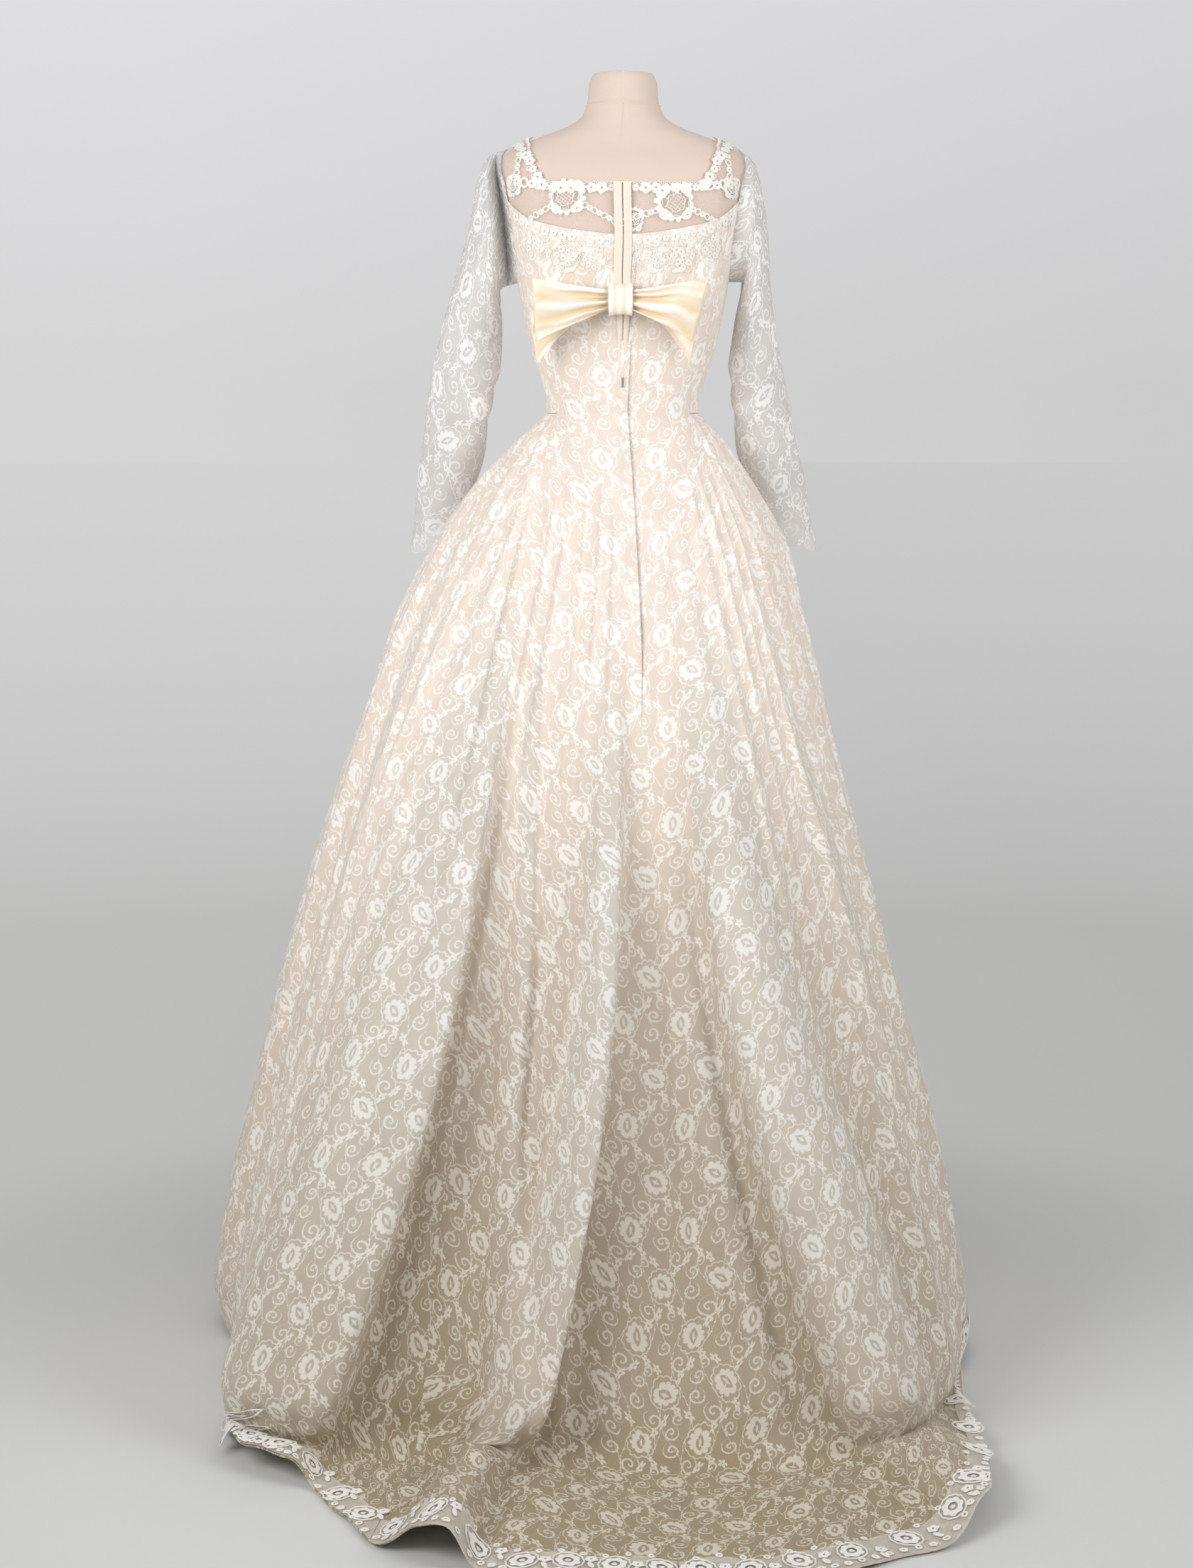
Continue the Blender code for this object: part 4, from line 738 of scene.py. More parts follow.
def buildSkirt():
    left, right = (floorPlaces[skirtShape[key]] for key in ("leftPrincess", "rightPrincess"))
    sideLeft, sideRight = planAt(-90), planAt(90)
    seam = 0.00006
    made = {}
    for name, node, first, last, columns in (("laceBackLeft", "centre_back_left", left, 0.0, 84),
                                             ("laceBackRight", "centre_back_right", 0.0, right, 90)):
        at, down = panelGrid(first + seam, last - seam, columns, 210)
        isLeft = last == 0.0
        if isLeft:  # the left panel laps over the right one from the waist to the knee
            lapped = smoothStep((centreLap["end"] - down) / 0.14)
            at = at + centreLap["reach"] * lapped * smoothStep((at + 0.03) / 0.03)
        skirt, paintedShade, liftAndCrestLight = skirtPoint(at, down)
        angles = planValue(0, at[-1])
        bodice = formPatch(angles, np.full(columns, formShape["waist"]), bodiceTop(angles), 66, formShape["bodiceOut"])[1:]
        points = np.concatenate([skirt, bodice])
        if isLeft:
            lift = centreLap["lift"] * smoothStep((at + 0.022) / 0.024) * lapped
            lift = np.concatenate([lift, lift[-1:] * np.linspace(1, 0, 65)[:, None] ** 2 * (np.arange(65) < 26)[:, None]])
            points = points + normalsOf(points) * lift[..., None]
        points[210:] = bodiceEase(points[209:], angles)[1:]
        places = clothPlaces(points[::-1], columns - 1 if isLeft else 0)[::-1]
        pad = np.zeros((65, columns))
        part = makePiece(name, points, laceOnSatin, places, wall=0.0015,
                         values={"paintedShade": np.concatenate([paintedShade, pad]), "lift": np.concatenate([liftAndCrestLight, pad])})
        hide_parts(node)
        made[name] = part
    for name, node, first, last, columns in (("laceSideLeft", "skirt_side_left", sideLeft, left, 110),
                                             ("laceSideRight", "skirt_side_right", right, sideRight, 96),
                                             ("laceFront", "skirt_front", sideRight - wholeRound, sideLeft, 150)):
        at, down = panelGrid(first + seam, last - seam, columns, 190)
        points, paintedShade, liftAndCrestLight = skirtPoint(at, down)
        places = clothPlaces(points[::-1])[::-1]
        part = makePiece(name, points, laceOnSatin, places, wall=0.0015,
                         values={"paintedShade": paintedShade, "lift": liftAndCrestLight})
        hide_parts(node)
        made[name] = part
    at = np.linspace(right, sideRight, 22)[[2, 11]]
    at = np.linspace(at[0], at[1], 60)[None, :]
    down = skirtReach(at) - np.linspace(0, 1, 16)[:, None] * 0.11
    points = skirtPoint(at, down, out=-0.0045)[0]
    points[..., 2] = np.maximum(points[..., 2], 0.0022)
    under = makePiece("satinHem", points, hemSatin, wall=0.0014, values={"paintedShade": 0.2})
    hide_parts("underskirt_hem")
    return made


panels = buildSkirt()
print("skirt ready")

# Appliqué flowers: flat shapes in mm that are laid on any surface


def petalRing(inner, outer, lobes, depth, dome, rings=4, spokes=40, stretch=1.0):
    # Ring between two radii whose outer edge has round lobes; it rises by 'dome' mm in the middle of its width
    turn = np.linspace(0, 2 * math.pi, spokes, endpoint=False)[None, :]
    share = np.linspace(0, 1, rings)[:, None]
    edge = outer * (1 - depth + depth * np.abs(np.cos(turn * lobes / 2)) ** 0.7)
    radius = inner + (edge - inner) * share
    rise = dome * np.sin(math.pi * (0.15 + 0.8 * share)) * (0.45 + 0.55 * np.abs(np.cos(turn * lobes / 2)))
    flat = np.stack([radius * np.cos(turn), radius * np.sin(turn) * stretch, rise], axis=-1)
    corner = np.arange(rings * spokes).reshape(rings, spokes)
    corner = np.concatenate([corner, corner[:, :1]], axis=1)
    faces = np.stack([corner[:-1, :-1], corner[1:, :-1], corner[1:, 1:], corner[:-1, 1:]], axis=-1).reshape(-1, 4)
    return flat.reshape(-1, 3), faces


def cordLine(line, wide, high, closed=False):
    # Raised cord along a flat line: an edge, a ridge and an edge
    line = np.asarray(line, float)
    way = np.gradient(line, axis=0)
    if closed:
        way = (np.roll(line, -1, axis=0) - np.roll(line, 1, axis=0)) / 2
    way /= np.maximum(np.linalg.norm(way, axis=-1, keepdims=True), 1e-9)
    side = np.stack([-way[:, 1], way[:, 0]], axis=-1) * wide / 2
    rise = np.array([0.0, high, high, 0.0])
    rows = np.stack([line + side * k for k in (-1, -0.45, 0.45, 1)])
    flat = np.concatenate([rows, np.broadcast_to(rise[:, None, None], rows.shape[:2] + (1,))], axis=-1)
    count = len(line)
    corner = np.arange(4 * count).reshape(4, count)
    if closed:
        corner = np.concatenate([corner, corner[:, :1]], axis=1)
    faces = np.stack([corner[:-1, :-1], corner[:-1, 1:], corner[1:, 1:], corner[1:, :-1]], axis=-1).reshape(-1, 4)
    return flat.reshape(-1, 3), faces


def joined(parts):
    places, faces, start = [], [], 0
    for flat, quads in parts:
        places.append(flat)
        faces.append(quads + start)
        start += len(flat)
    return np.concatenate(places), np.concatenate(faces)


def moved(shape, x, y, turn=0.0, size=1.0):
    flat, faces = shape
    c, s = math.cos(turn) * size, math.sin(turn) * size
    return np.stack([flat[:, 0] * c - flat[:, 1] * s + x, flat[:, 0] * s + flat[:, 1] * c + y, flat[:, 2]], axis=-1), faces


def ringLine(radius, waves=0, depth=0.0, count=28, stretch=1.0):
    turn = np.linspace(0, 2 * math.pi, count, endpoint=False)
    edge = radius * (1 + depth * np.abs(np.cos(turn * waves / 2)))
    return np.stack([edge * np.cos(turn), edge * np.sin(turn) * stretch], axis=-1)


smallFlower = petalRing(1.3, 6.4, 5, 0.34, 0.7, rings=3, spokes=25)
tinyFlower = petalRing(0.9, 4.4, 5, 0.34, 0.6, rings=3, spokes=15)
chainLoop = cordLine(ringLine(3.1, count=10, stretch=0.8), 1.6, 0.6, closed=True)
leafShape = moved(petalRing(0.2, 5.5, 2, 0.1, 0.6, rings=3, spokes=14, stretch=0.42), 0, 0)


def netRose(reach):
    # Big corded rose: a wreath of small scallops, four broad petals inside it, and a netted eye with a looped cord
    parts = [petalRing(reach * 0.76, reach * 1.06, 14, 0.20, 0.8, rings=3, spokes=56),
             cordLine(ringLine(reach * 0.42, 6, 0.22, 36), 1.5, 1.2, closed=True),
             cordLine(ringLine(reach * 0.66, 8, 0.16, 40), 1.3, 1.0, closed=True)]
    for turn in np.arange(4) * math.pi / 2 + 0.5:
        petal = petalRing(reach * 0.10, reach * 0.30, 3, 0.22, 1.0, rings=3, spokes=18, stretch=1.35)
        parts.append(moved(petal, 0.86 * reach * math.cos(turn), 0.86 * reach * math.sin(turn), turn))
    for turn in np.arange(8) * math.pi / 4:
        spoke = np.outer([0.46, 0.55, 0.66], [math.cos(turn), math.sin(turn)]) * reach
        parts.append(cordLine(spoke, 0.9, 0.5))
    for k in range(-2, 3):
        half = math.sqrt(max(0.0, 0.46 ** 2 - (k * 0.16) ** 2)) * reach
        for turn in (0.6, 0.6 + math.pi / 2):
            line = np.array([[-half, k * 0.16 * reach], [0, k * 0.16 * reach], [half, k * 0.16 * reach]])
            parts.append(moved(cordLine(line, 0.6, 0.3), 0, 0, turn))
    return joined(parts)


leafRose = joined([petalRing(6.0, 13.5, 7, 0.24, 1.2, rings=3, spokes=35, stretch=1.2),
                   petalRing(0.4, 3.2, 3, 0.25, 0.9, rings=2, spokes=12),
                   cordLine(ringLine(15.4, 12, 0.10, 36, 1.2), 1.1, 0.7, closed=True)])


def leafyRose(start):
    # Broad petals of uneven size over one another round an open bud, with a looped cord outside
    parts = [cordLine(ringLine(15.2, 9, 0.16, 54, 0.94), 1.0, 0.5, closed=True), petalRing(1.0, 4.0, 4, 0.25, 0.7, rings=3, spokes=16)]
    for k, turn in enumerate(start + np.arange(7) * 2 * math.pi / 7):
        long = 9.2 + 1.6 * math.sin(3 * k + start * 5)
        petal = petalRing(1.1, 4.4 + 0.7 * (k % 2), 3, 0.26, 0.55, rings=3, spokes=18, stretch=0.8)
        parts.append(moved(petal, long * math.cos(turn), long * math.sin(turn), turn + 0.5))
        curl = ringLine(5.6, 0, 0.0, 16)[:9] * (1.0 + 0.1 * (k % 3))
        parts.append(moved(cordLine(curl, 0.8, 0.5), 0.95 * long * math.cos(turn + 0.4), 0.95 * long * math.sin(turn + 0.4), turn - 1.2))
    return joined(parts)


def layFlowers(name, surface, laid, look, high=1.0):
    # Each row of laid is (shape, a, b, turn, size): the flat shape is put on surface(a, b, out) round that place.
    # The surface's own stretch there turns mm into steps of a and b
    spots = np.array([row[1:3] for row in laid], float)
    step = 1e-3
    here = surface(spots[:, 0], spots[:, 1], 0.0)
    wayA = (surface(spots[:, 0] + step, spots[:, 1], 0.0) - here) / step
    wayB = (surface(spots[:, 0], spots[:, 1] + step, 0.0) - here) / step
    places, faces, start = [], [], 0
    for row, a, b in zip(laid, wayA, wayB):
        flat, quads = moved(row[0], 0, 0, row[3], row[4])
        # Solve for the steps that give the flat offsets along a and square to it
        alongA = a / np.linalg.norm(a)
        squareB = b - alongA * (b @ alongA)
        squareB /= np.linalg.norm(squareB)
        stepB = flat[:, 1] / 1000 / (b @ squareB)
        stepA = (flat[:, 0] / 1000 - stepB * (b @ alongA)) / np.linalg.norm(a)
        places.append(np.stack([row[1] + stepA, row[2] + stepB, flat[:, 2] / 1000 * high], axis=-1))
        faces.append(quads + start)
        start += len(flat)
    places = np.concatenate(places)
    points = surface(places[:, 0], places[:, 1], places[:, 2])
    mesh = bpy.data.meshes.new(name)
    mesh.from_pydata(points.tolist(), [], np.concatenate(faces).tolist())
    return finishPiece(name, mesh, look, wall=0.0005)


def threadLook(name, colour, shadow):
    # Cotton appliqué: matt close stitches about 0.7 mm apart, drawn as fine slanting ribs
    look = bpy.data.materials.new(name)
    look.use_nodes = True
    tree = look.node_tree
    add = functools.partial(addNode, tree)
    shader = tree.nodes["Principled BSDF"]
    place = add("TexCoord", out=3)
    blot = add("TexNoise", place, None, 160.0, 2.0)
    colour = add("Mix", blot, None, None, None, None, None, linear(colour), linear(shadow), out=2, data_type="RGBA")
    tree.links.new(colour, shader.inputs["Base Color"])
    shader.inputs["Roughness"].default_value = 0.8
    shader.inputs["Sheen Weight"].default_value = 0.3
    ribs = add("TexWave", place, 700.0, 2.5, 2.0, bands_direction="DIAGONAL", out=1)
    bump = tree.nodes.new("ShaderNodeBump")
    bump.inputs["Strength"].default_value = 0.4
    bump.inputs["Distance"].default_value = 0.0003
    tree.links.new(ribs, bump.inputs["Height"])
    tree.links.new(bump.outputs[0], shader.inputs["Normal"])
    return look


def netLook(name, colour, alpha):
    # Fine silk net: see-through, its threads drawn 2 mm apart because the real 1 mm mesh is too fine to show
    look = bpy.data.materials.new(name)
    look.use_nodes = True
    tree = look.node_tree
    add = functools.partial(addNode, tree)
    shader = tree.nodes["Principled BSDF"]
    place = add("VectorMath", add("UVMap", uv_map="cloth"), (1000.0, 1000.0, 1000.0), operation="MULTIPLY")
    mesh = add("TexVoronoi", place, None, 0.5, feature="DISTANCE_TO_EDGE")
    mesh = add("Math", mesh, -6.0, 1.0, operation="MULTIPLY_ADD", use_clamp=True)
    slow = add("TexNoise", place, None, 0.03, 2.0)
    mesh = add("Math", mesh, 0.12, add("Math", slow, 0.16, alpha - 0.08, operation="MULTIPLY_ADD"), operation="MULTIPLY_ADD")
    tree.links.new(mesh, shader.inputs["Alpha"])
    shader.inputs["Base Color"].default_value = linear(colour)
    shader.inputs["Roughness"].default_value = 0.7
    return look


thread = threadLook("corded cotton applique", "#FFFDF9", "#F4EEE5")
silkNet = netLook("fine ivory silk net", "#FBEDE4", 0.16)
hemNet = netLook("hem net", "#F1EAE0", 0.30)


def formSurface(out):
    return lambda a, b, rise: onForm(np.radians(a), b, out + rise)


yokeShape = {
    "backRoses": [(-0.0727, 1.431, 22.0), (0.0655, 1.424, 23.0)], "shoulderRoses": [(-0.136, 1.447, 14.0), (0.134, 1.444, 14.0)],
    "chains": [  # from, to (x, z) as seen from behind, the flowers along it and their size
        ((-0.090, 1.420), (-0.120, 1.403), 6, 1.0), ((-0.054, 1.424), (-0.012, 1.402), 8, 1.0),
        ((0.046, 1.416), (0.010, 1.405), 7, 1.0), ((0.086, 1.416), (0.114, 1.402), 6, 1.0),
        ((-0.150, 1.455), (-0.104, 1.446), 6, 1.55), ((0.149, 1.450), (0.098, 1.444), 7, 1.55),
        ((-0.128, 1.500), (-0.132, 1.462), 6, 1.1), ((0.128, 1.498), (0.131, 1.458), 6, 1.1),
    ],
}


def alongEdge(edge, first, last, apart, drop):
    # Places every 'apart' mm along an edge of the form, 'drop' metres below it
    fine = first + (last - first) * np.linspace(0, 1, 1200) ** 2
    height = straightLine(edge, np.abs(np.where(fine > 180, fine - 360, fine)))
    line = onForm(np.radians(fine), height, 0.0)
    length = np.concatenate([[0], np.cumsum(np.linalg.norm(np.diff(line, axis=0), axis=-1))])
    spots = np.arange(apart / 2000, length[-1], apart / 1000)
    return [(float(np.interp(s, length, fine)), float(np.interp(s, length, height)) - drop) for s in spots]


def buildYoke():
    for name, node, first, last, count in (("yokeNetLeft", "yoke_back_left", -89.8, -0.1, 60), ("yokeNetRight", "yoke_back_right", 0.1, 89.8, 60),
                                           ("yokeNetFront", "yoke_front", 90.2, 269.8, 100)):
        angles = np.linspace(first, last, count)
        if "Front" not in name:  # the section's flat back needs small angles close together
            angles = np.sign(last + first) * 89.8 * np.linspace(0.012, 1, count)[::(1 if last > 50 else -1)] ** 2
        folded = np.abs(np.where(angles > 180, 360 - angles, angles))
        neck = straightLine(formShape["neckEdge"], folded)
        points = formPatch(angles, np.minimum(yokeFoot(folded) - 0.0004, neck - 0.002), neck, 30, formShape["netOut"])
        part = makePiece(name, points, silkNet, clothPlaces(points), wall=0.0004)
        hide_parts(node)
    surface = formSurface(formShape["netOut"] + 0.0002)
    back, galloon = [], []
    for side in (-1, 1):
        for k, (a, b) in enumerate(alongEdge(formShape["neckEdge"], 0.45, 176, 12.5, 0.0070)):
            back.append((smallFlower if k % 3 else tinyFlower, side * a, b, 0.9 * k, 1.12 + 0.14 * (k % 2)))
            back.append((chainLoop, side * (a + 2.9), b + 0.001, 0.0, 1.0))
        for k, (a, b) in enumerate(alongEdge(formShape["neckEdge"], 0.45, 176, 5.2, 0.0008)):
            back.append((chainLoop, side * a, b, 0.4, 0.62))
        for k, (a, b) in enumerate(alongEdge(formShape["satinEdge"], 1.2, 62, 11.5, 0.0095)):
            galloon.append((smallFlower if k % 3 else tinyFlower, side * a, b, 1.3 * k, 1.0))
            if k % 2:
                galloon.append((chainLoop, side * a, b - 0.010, 0.5 * k, 1.1))
        for k, (a, b) in enumerate(alongEdge(formShape["satinEdge"], 3.0, 56, 38.0, 0.036)):
            galloon.append((leafyRose(0.6 * k + side), side * a, b + 0.002 * (-1) ** k, 0.5 - k, 1.02 + 0.08 * (k % 2)))
            galloon.append((leafShape, side * (a + 3.2), b + 0.014, 0.8 * k, 1.5))
            galloon.append((leafShape, side * (a - 2.2), b - 0.017, 1.1 - 0.9 * k, 1.5))
    for x, z, reach in yokeShape["backRoses"] + yokeShape["shoulderRoses"]:
        back.append((netRose(reach), float(angleAt(x, z)), z, 0.35, 1.0))
    back.append((netRose(15.0), float(angleAt(0.013, 1.404)), 1.404, 0.1, 1.0))
    for (x0, z0), (x1, z1), count, size in yokeShape["chains"]:
        for k in range(count):
            share = k / (count - 1)
            x, z = x0 + (x1 - x0) * share, z0 + (z1 - z0) * share
            back.append((chainLoop if k % 2 else tinyFlower, float(angleAt(x, z)), z, 0.7 * k, size * (1.25 if k % 2 else 0.95)))
    trim = layFlowers("necklineLace", surface, back, thread)
    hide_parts("neckline_trim")
    flowers = layFlowers("bodiceGalloon", formSurface(formShape["bodiceOut"] + 0.0014), galloon, thread,
                         high=0.8)


buildYoke()
print("yoke ready")

# Sleeves: outer seam (x, z), inner seam (x, z), middle y, half depth, each from shoulder to cuff
sleeveShape = {
    "left": [
        (0.172, 1.486, 0.1555, 1.322, 0.000, 0.053), (0.183, 1.463, 0.1560, 1.308, 0.001, 0.053),
        (0.197, 1.395, 0.1550, 1.288, 0.003, 0.051), (0.216, 1.332, 0.1540, 1.258, 0.007, 0.047),
        (0.236, 1.262, 0.1605, 1.212, 0.018, 0.043), (0.251, 1.190, 0.1720, 1.158, 0.036, 0.040),
        (0.263, 1.120, 0.1840, 1.100, 0.062, 0.038), (0.272, 1.055, 0.1940, 1.045, 0.090, 0.036),
        (0.280, 1.006, 0.2010, 1.000, 0.114, 0.035),
    ],
    "right": [
        (0.166, 1.482, 0.1530, 1.330, 0.000, 0.053), (0.175, 1.455, 0.1510, 1.318, 0.001, 0.053),
        (0.185, 1.390, 0.1475, 1.300, 0.003, 0.051), (0.190, 1.325, 0.1420, 1.272, 0.007, 0.047),
        (0.199, 1.262, 0.1380, 1.225, 0.018, 0.043), (0.212, 1.195, 0.1420, 1.172, 0.036, 0.040),
        (0.229, 1.125, 0.1530, 1.110, 0.062, 0.038), (0.245, 1.058, 0.1690, 1.050, 0.090, 0.036),
        (0.256, 1.010, 0.1790, 1.004, 0.114, 0.035),
    ],
    "cuffPoint": 0.024, "sides": 64, "rings": 120,
    "pulls": [  # place down the sleeve, turn, half length, half width in turns, depth
        (0.13, 2.6, 0.05, 0.35, -0.0030), (0.20, 3.3, 0.04, 0.45, 0.0022), (0.30, 3.9, 0.06, 0.30, -0.0026),
        (0.40, 2.4, 0.05, 0.35, 0.0024), (0.47, 3.4, 0.035, 0.50, -0.0034), (0.53, 3.0, 0.03, 0.50, 0.0026),
        (0.58, 3.7, 0.035, 0.45, -0.0028), (0.68, 2.7, 0.06, 0.30, 0.0020), (0.80, 3.5, 0.06, 0.30, -0.0020),
        (0.90, 2.9, 0.05, 0.35, 0.0018),
    ],
}


def sleeveGrid(rows, side):
    # Rings from the armhole to the pointed cuff: ovals square to the arm's line, joined by smooth curves
    turns = np.linspace(0, 2 * math.pi, sleeveShape["sides"], endpoint=False)
    cosine, sine = np.cos(turns), np.sin(turns)
    hole = onForm(np.radians(side * (90 + (formShape["holeAngle"] - 0.9) * sine * side)),
                  formShape["holeHeight"] + (formShape["holeHalf"] - 0.0012) * cosine, formShape["netOut"])
    table = np.array(rows)
    middle = np.stack([(table[:, 0] + table[:, 2]) / 2 * side, table[:, 4], (table[:, 1] + table[:, 3]) / 2], axis=-1)
    travel = np.gradient(middle, axis=0)
    toOuter = np.stack([(table[:, 0] - table[:, 2]) / 2 * side, 0 * table[:, 0], (table[:, 1] - table[:, 3]) / 2], axis=-1)
    tilt = np.arctan2(travel[:, 1], -travel[:, 2])
    toFront = np.stack([0 * tilt, np.cos(tilt), np.sin(tilt)], axis=-1) * table[:, 5:6]
    rings = middle[:, None] + cosine[:, None] * toOuter[:, None] + sine[:, None] * toFront[:, None]
    line = travel[-1] / np.linalg.norm(travel[-1])
    point = sleeveShape["cuffPoint"] * np.clip(cosine, 0, 1) ** 2
    cuff = rings[-1] + line * (0.004 + point)[:, None]
    rings = np.concatenate([hole[None], rings, cuff[None]])
    places = np.concatenate([[0], np.cumsum(np.linalg.norm(np.diff(rings.mean(axis=1), axis=0), axis=-1) + 0.004)])
    places /= places[-1]
    share = np.linspace(0, 1, sleeveShape["rings"])
    flat = rings.reshape(len(rings), -1)
    dense = np.stack([smoothLine(places, flat[:, k], share) for k in range(flat.shape[1])], axis=-1)
    dense = dense.reshape(len(share), -1, 3)
    outward = dense - dense.mean(axis=1, keepdims=True)
    outward /= np.linalg.norm(outward, axis=-1, keepdims=True)
    share = share[:, None]
    push = np.zeros(dense.shape[:2])
    for place, turn, tall, wide, depth in sleeveShape["pulls"]:
        away = (turns[None, :] - turn + math.pi) % (2 * math.pi) - math.pi
        push += depth * np.exp(-((share - place - away * 0.03) / tall) ** 2 - (away / (wide * math.pi)) ** 2)
    push += 0.0010 * np.sin(turns * 3 + share * 9) * np.sin(share * 17 + 1) + 0.0007 * np.sin(turns * 5 - share * 21)
    return dense + outward * (push * smoothStep(share / 0.08) * smoothStep((1 - share) / 0.05))[..., None]


def buildSleeves():
    for name, node, key, side in (("sleeveLeft", "sleeve_left", "left", -1), ("sleeveRight", "sleeve_right", "right", 1)):
        points = sleeveGrid(sleeveShape[key], side)
        if side > 0:
            points = points[:, ::-1]
        places = clothPlaces(np.concatenate([points, points[:, :1]], axis=1))
        places[..., 1] = places[..., 1].mean(axis=1, keepdims=True)
        part = makePiece(name, points, sheerLace, places, around=True, wall=0.0006,
                         values={"paintedShade": 0.12, "lift": 0.3})
        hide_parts(node)


buildSleeves()
print("sleeves ready")

# Bow: middle of the knot, then each loop's outer corners as (x, z) seen from behind
bowShape = {
    "x": -0.004, "z": 1.306, "knotHalfWidth": 0.0145, "knotHalfHeight": 0.0190, "knotDepth": 0.0260, "ground": 0.0054,
    "loops": [  # side, top and bottom corner, half height at the knot, front and back depth, puff, droop, lift
        ("bowUpperLeft", "bow_upper_left", -1, (0.110, 1.331), (0.105, 1.254), 0.0105, 0.0150, 0.0046, 0.022, 0.000, 0.010, 0.3),
        ("bowUpperRight", "bow_upper_right", 1, (0.109, 1.331), (0.089, 1.255), 0.0105, 0.0150, 0.0046, 0.022, 0.000, 0.010, 1.9),
        ("bowLowerLeft", "bow_lower_left", -1, (0.113, 1.290), (0.104, 1.227), 0.0090, 0.0041, 0.0003, 0.006, 0.014, -0.008, 0.8),
        ("bowLowerRight", "bow_lower_right", 1, (0.098, 1.290), (0.087, 1.228), 0.0090, 0.0041, 0.0003, 0.006, 0.014, -0.008, 2.6),
    ],
}


def bowBack():
    top = formPoint(np.zeros(1), np.array([bowShape["z"] + bowShape["knotHalfHeight"]]))[0, 1]
    return top - bowShape["ground"] + 0.0004


def bowLoop(side, top, bottom, knotHalf, frontDepth, backDepth, puff, droop, lift, start):
    # Band that leaves the knot, turns over at its outer end and comes back behind itself.
    # Pleats fan out from the knot and fade towards the outer end
    way = np.linspace(0, 1, 77)[None, :]
    up = np.linspace(-1, 1, 41)[:, None]
    out = np.sin(math.pi * way)
    reach = np.clip(out, 0, 1) ** 0.9
    inner = bowShape["knotHalfWidth"] * 0.35
    xTop, xBottom = inner + (top[0] - inner) * reach, inner + (bottom[0] - inner) * reach
    zTop = bowShape["z"] + knotHalf + (top[1] - bowShape["z"] - knotHalf) * reach ** 1.2
    zBottom = bowShape["z"] - knotHalf + (bottom[1] - bowShape["z"] + knotHalf) * reach ** 1.2
    zBottom = zBottom + droop * np.sin(math.pi * reach)
    share = (up + 1) / 2
    x = xBottom + (xTop - xBottom) * share
    z = zBottom + (zTop - zBottom) * share
    halfTurn = np.cos(math.pi * way)
    depth = (frontDepth + backDepth) / 2 + (frontDepth - backDepth) / 2 * halfTurn
    depth = depth + puff * out * (0.35 + 0.65 * halfTurn) * (1 - 0.3 * up * up) + lift * reach
    front = smoothStep((0.5 - way) / 0.12)
    bent = up + 0.10 * np.sin(reach * 5 + start) + 0.05 * np.sin(reach * 11 + start * 2)
    fan = np.cos(bent * 6.3 + start) * 0.55 + np.cos(bent * 10.5 + start * 1.7) * 0.3 + np.cos(bent * 17 - start) * 0.15
    fade = smoothStep(reach / 0.14) * np.clip(1.22 - reach, 0, 1) ** 0.9
    fan = fan + 0.45 * np.cos(bent * 13 + start * 3.1 + 2.2 * reach) * smoothStep((0.85 - reach) / 0.5)
    fan = np.sign(fan) * np.abs(fan) ** 0.6
    puckered = 0.0050 * fan * fade * front * min(1.0, puff / 0.02 + 0.25)
    soft = 0.0016 * np.sin(reach * 7 + up * 3 + start) * np.sin(up * 4 - reach * 3 + start) * front * reach
    y = bowBack() - 0.0017 - depth - puckered - soft + 0 * x
    # Painted shade: golden in the pleats' hollows and on the loop's back half, behind the front
    paintedShade = np.clip(0.45 - 0.55 * fan * fade * 1.4 - 0.3 * soft / 0.0016, 0, 1) * front + 0.55 * (1 - front)
    points = np.stack([bowShape["x"] + side * x, y, z + 0 * y], axis=-1)
    return points, np.broadcast_to(paintedShade, points.shape[:2])


def buildBow():
    for name, node, side, *shape in bowShape["loops"]:
        points, paintedShade = bowLoop(side, *shape)
        if side < 0:
            points, paintedShade = points[:, ::-1], paintedShade[:, ::-1]
        part = makePiece(name, points, satin, clothPlaces(points), wall=0.0011, values={"paintedShade": paintedShade})
        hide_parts(node)
    turns = np.linspace(0, 2 * math.pi, 72, endpoint=False)[None, :]
    across = np.linspace(-1, 1, 33)[:, None]
    pinch = 1 - 0.08 * (1 - across * across)
    flat = np.sign(np.cos(turns)) * np.abs(np.cos(turns)) ** 0.5
    high = np.sign(np.sin(turns)) * np.abs(np.sin(turns)) ** 0.5
    pleat = 0.0011 * np.cos(across * 8.0 + 0.6) * np.clip(-np.cos(turns) * -1, 0, 1)
    depth = bowShape["knotDepth"]
    y = bowBack() - 0.0004 - depth / 2 - (depth / 2 + pleat) * flat + 0 * across
    z = bowShape["z"] + bowShape["knotHalfHeight"] * high * pinch
    x = bowShape["x"] + bowShape["knotHalfWidth"] * across + 0 * y
    # Painted shade in the knot's pleat hollows
    paintedShade = np.broadcast_to(0.35 - 0.35 * np.cos(across * 8.0 + 0.6), x.shape)
    points = np.stack([x, y, z], axis=-1)
    knot = makePiece("bowKnot", points, satin, clothPlaces(np.concatenate([points, points[:, :1]], axis=1)), around=True,
                     wall=0.0012, values={"paintedShade": paintedShade})
    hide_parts("bow_knot")


buildBow()
print("bow ready")


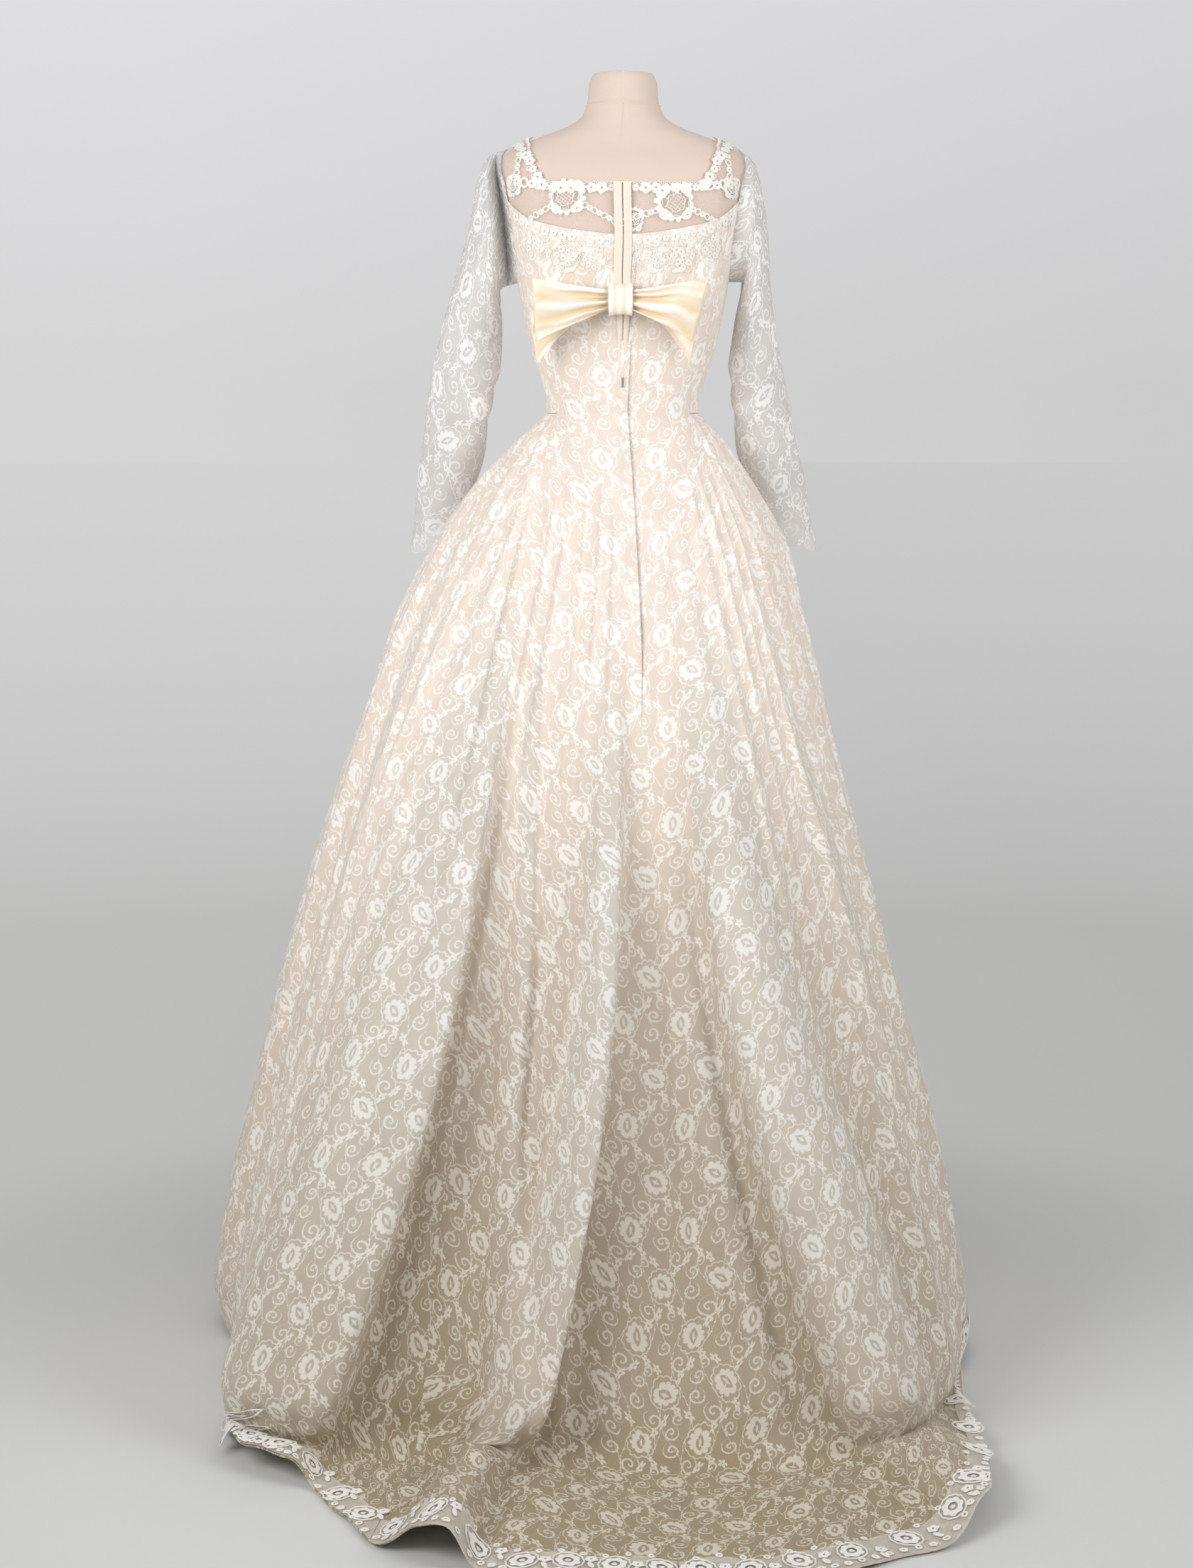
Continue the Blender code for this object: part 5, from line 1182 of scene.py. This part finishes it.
def buildPlacket():
    # Two satin strips either side of the zip, wider at the top and nearly closed at the foot; they bow apart below the bow
    rows = list(zip(*formShape["rows"]))
    heights = np.linspace(1.190, 1.4485, 90)
    for name, node, side in (("placketLeft", "placket_left", -1), ("placketRight", "placket_right", 1)):
        open_ = 0.0006 + 0.0014 * np.exp(-((heights - 1.245) / 0.02) ** 2)
        wide = 0.0040 + 0.0068 * smoothStep((heights - 1.20) / 0.16)
        share = np.linspace(0, 1, 9)[None, :]
        across = side * (open_[:, None] + (wide - open_)[:, None] * share) - 0.001 + 0.0006 * np.sin(heights * 60)[:, None]
        if side < 0:
            across = across[:, ::-1]
        half = smoothLine(rows[0], rows[1], heights)[:, None]
        square = smoothLine(rows[0], rows[4], heights)[:, None]
        angle = np.arcsin((np.abs(across) / half) ** (square / 2)) * np.sign(across)
        rise = 0.0006 * np.sin(share * math.pi) if side > 0 else 0.0006 * np.sin(share[:, ::-1] * math.pi)
        points = onForm(angle, heights[:, None], 0.0048 + rise + 0.0004 * np.sin(heights * 80)[:, None])
        part = makePiece(name, points, placketSatin, clothPlaces(points), wall=0.0010, values={"paintedShade": 0.0})
        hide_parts(node)


# Dark zip coil: partly its own colour, partly painted shade of the slit between the strips
zipCoilAndSlitShade = plainLook("dark zip coil and tape with painted slit shade", "#8A7763", "#6B5A49", 0.6, (900.0, 900.0, 900.0), 0.0002)


def buildZip():
    # Coil between the strips: a narrow band with a tooth every 1.6 mm (coarser than the real 0.9 mm, to show). Its dark
    # brown is partly the coil's own colour and partly painted shade in the slit between the strips
    heights = np.linspace(1.192, 1.4475, 480)[:, None]
    rows = list(zip(*formShape["rows"]))
    across = np.linspace(-0.0022, 0.0022, 5)[None, :] - 0.001
    half, square = smoothLine(rows[0], rows[1], heights), smoothLine(rows[0], rows[4], heights)
    angle = np.arcsin((np.abs(across) / half) ** (square / 2)) * np.sign(across)
    tooth = 0.00025 * np.sin(heights * 2 * math.pi / 0.0016) * np.cos((across + 0.001) * 700)
    makePiece("zipCoilAndSlitShade", onForm(angle, heights, 0.0031 + tooth), zipCoilAndSlitShade, wall=0.0004)


buildPlacket()
buildZip()
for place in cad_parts["zip_slider"].material_slots:
    place.material = zipMetal


def buildHemLace():
    # Galloon along the hem: net past the edge, and roses, small flowers and looped cords on it
    left, right = (floorPlaces[skirtShape[key]] for key in ("leftPrincess", "rightPrincess"))
    strips = [  # name, node, first and last floor distance, the panel under it, flat size
        ("Left", "hem_trim_left", left, 0.0, "laceBackLeft", (0.40, 0.060)),
        ("Right", "hem_trim_right", 0.0, right, "laceBackRight", (0.44, 0.060)),
        ("FarLeft", None, left - 0.30, left, "laceSideLeft", (0.32, 0.045)),
        ("FarRight", None, right, right + 0.30, "laceSideRight", (0.31, 0.034)),
    ]
    for name, node, first, last, panel, flat in strips:
        at = np.linspace(first + 0.0005, last - 0.0005, 80)[None, :]
        down = laceEdge(at) - np.linspace(0, 1, 9)[:, None] * 0.045 + (0.004 if node else 0.0)
        points = skirtPoint(at, down, out=0.0022)[0]
        net = makePiece("hemNet" + name, points, hemNet, clothPlaces(points), wall=0.0005)
        laid = []
        for k, a in enumerate(np.arange(first + 0.02, last - 0.012, 0.043)):
            edge = float(laceEdge(np.array([a]))[0])
            laid.append((leafRose, a, edge - 0.024, 0.5 if k % 2 else -0.5, 0.95))
            laid.append((smallFlower, a + 0.0215, edge - 0.027, 0.3, 1.1))
            laid.append((leafShape, a + 0.0215, edge - 0.016, 1.2, 1.3))
        for k, a in enumerate(np.arange(first + 0.006, last - 0.004, 0.0105)):
            edge = float(laceEdge(np.array([a]))[0])
            laid.append((tinyFlower if k % 2 else chainLoop, a, edge - 0.0050, 0.8 * k, 1.15))
            if k % 2 and node:
                laid.append((chainLoop, a, edge - 0.041, 0.2 * k, 1.0))
        flowers = layFlowers("hemLace" + name, lambda a, b, rise: skirtPoint(a, b, out=0.0032 + rise)[0], laid, thread)
        if node:
            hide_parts(node)


buildHemLace()
print("trims ready")
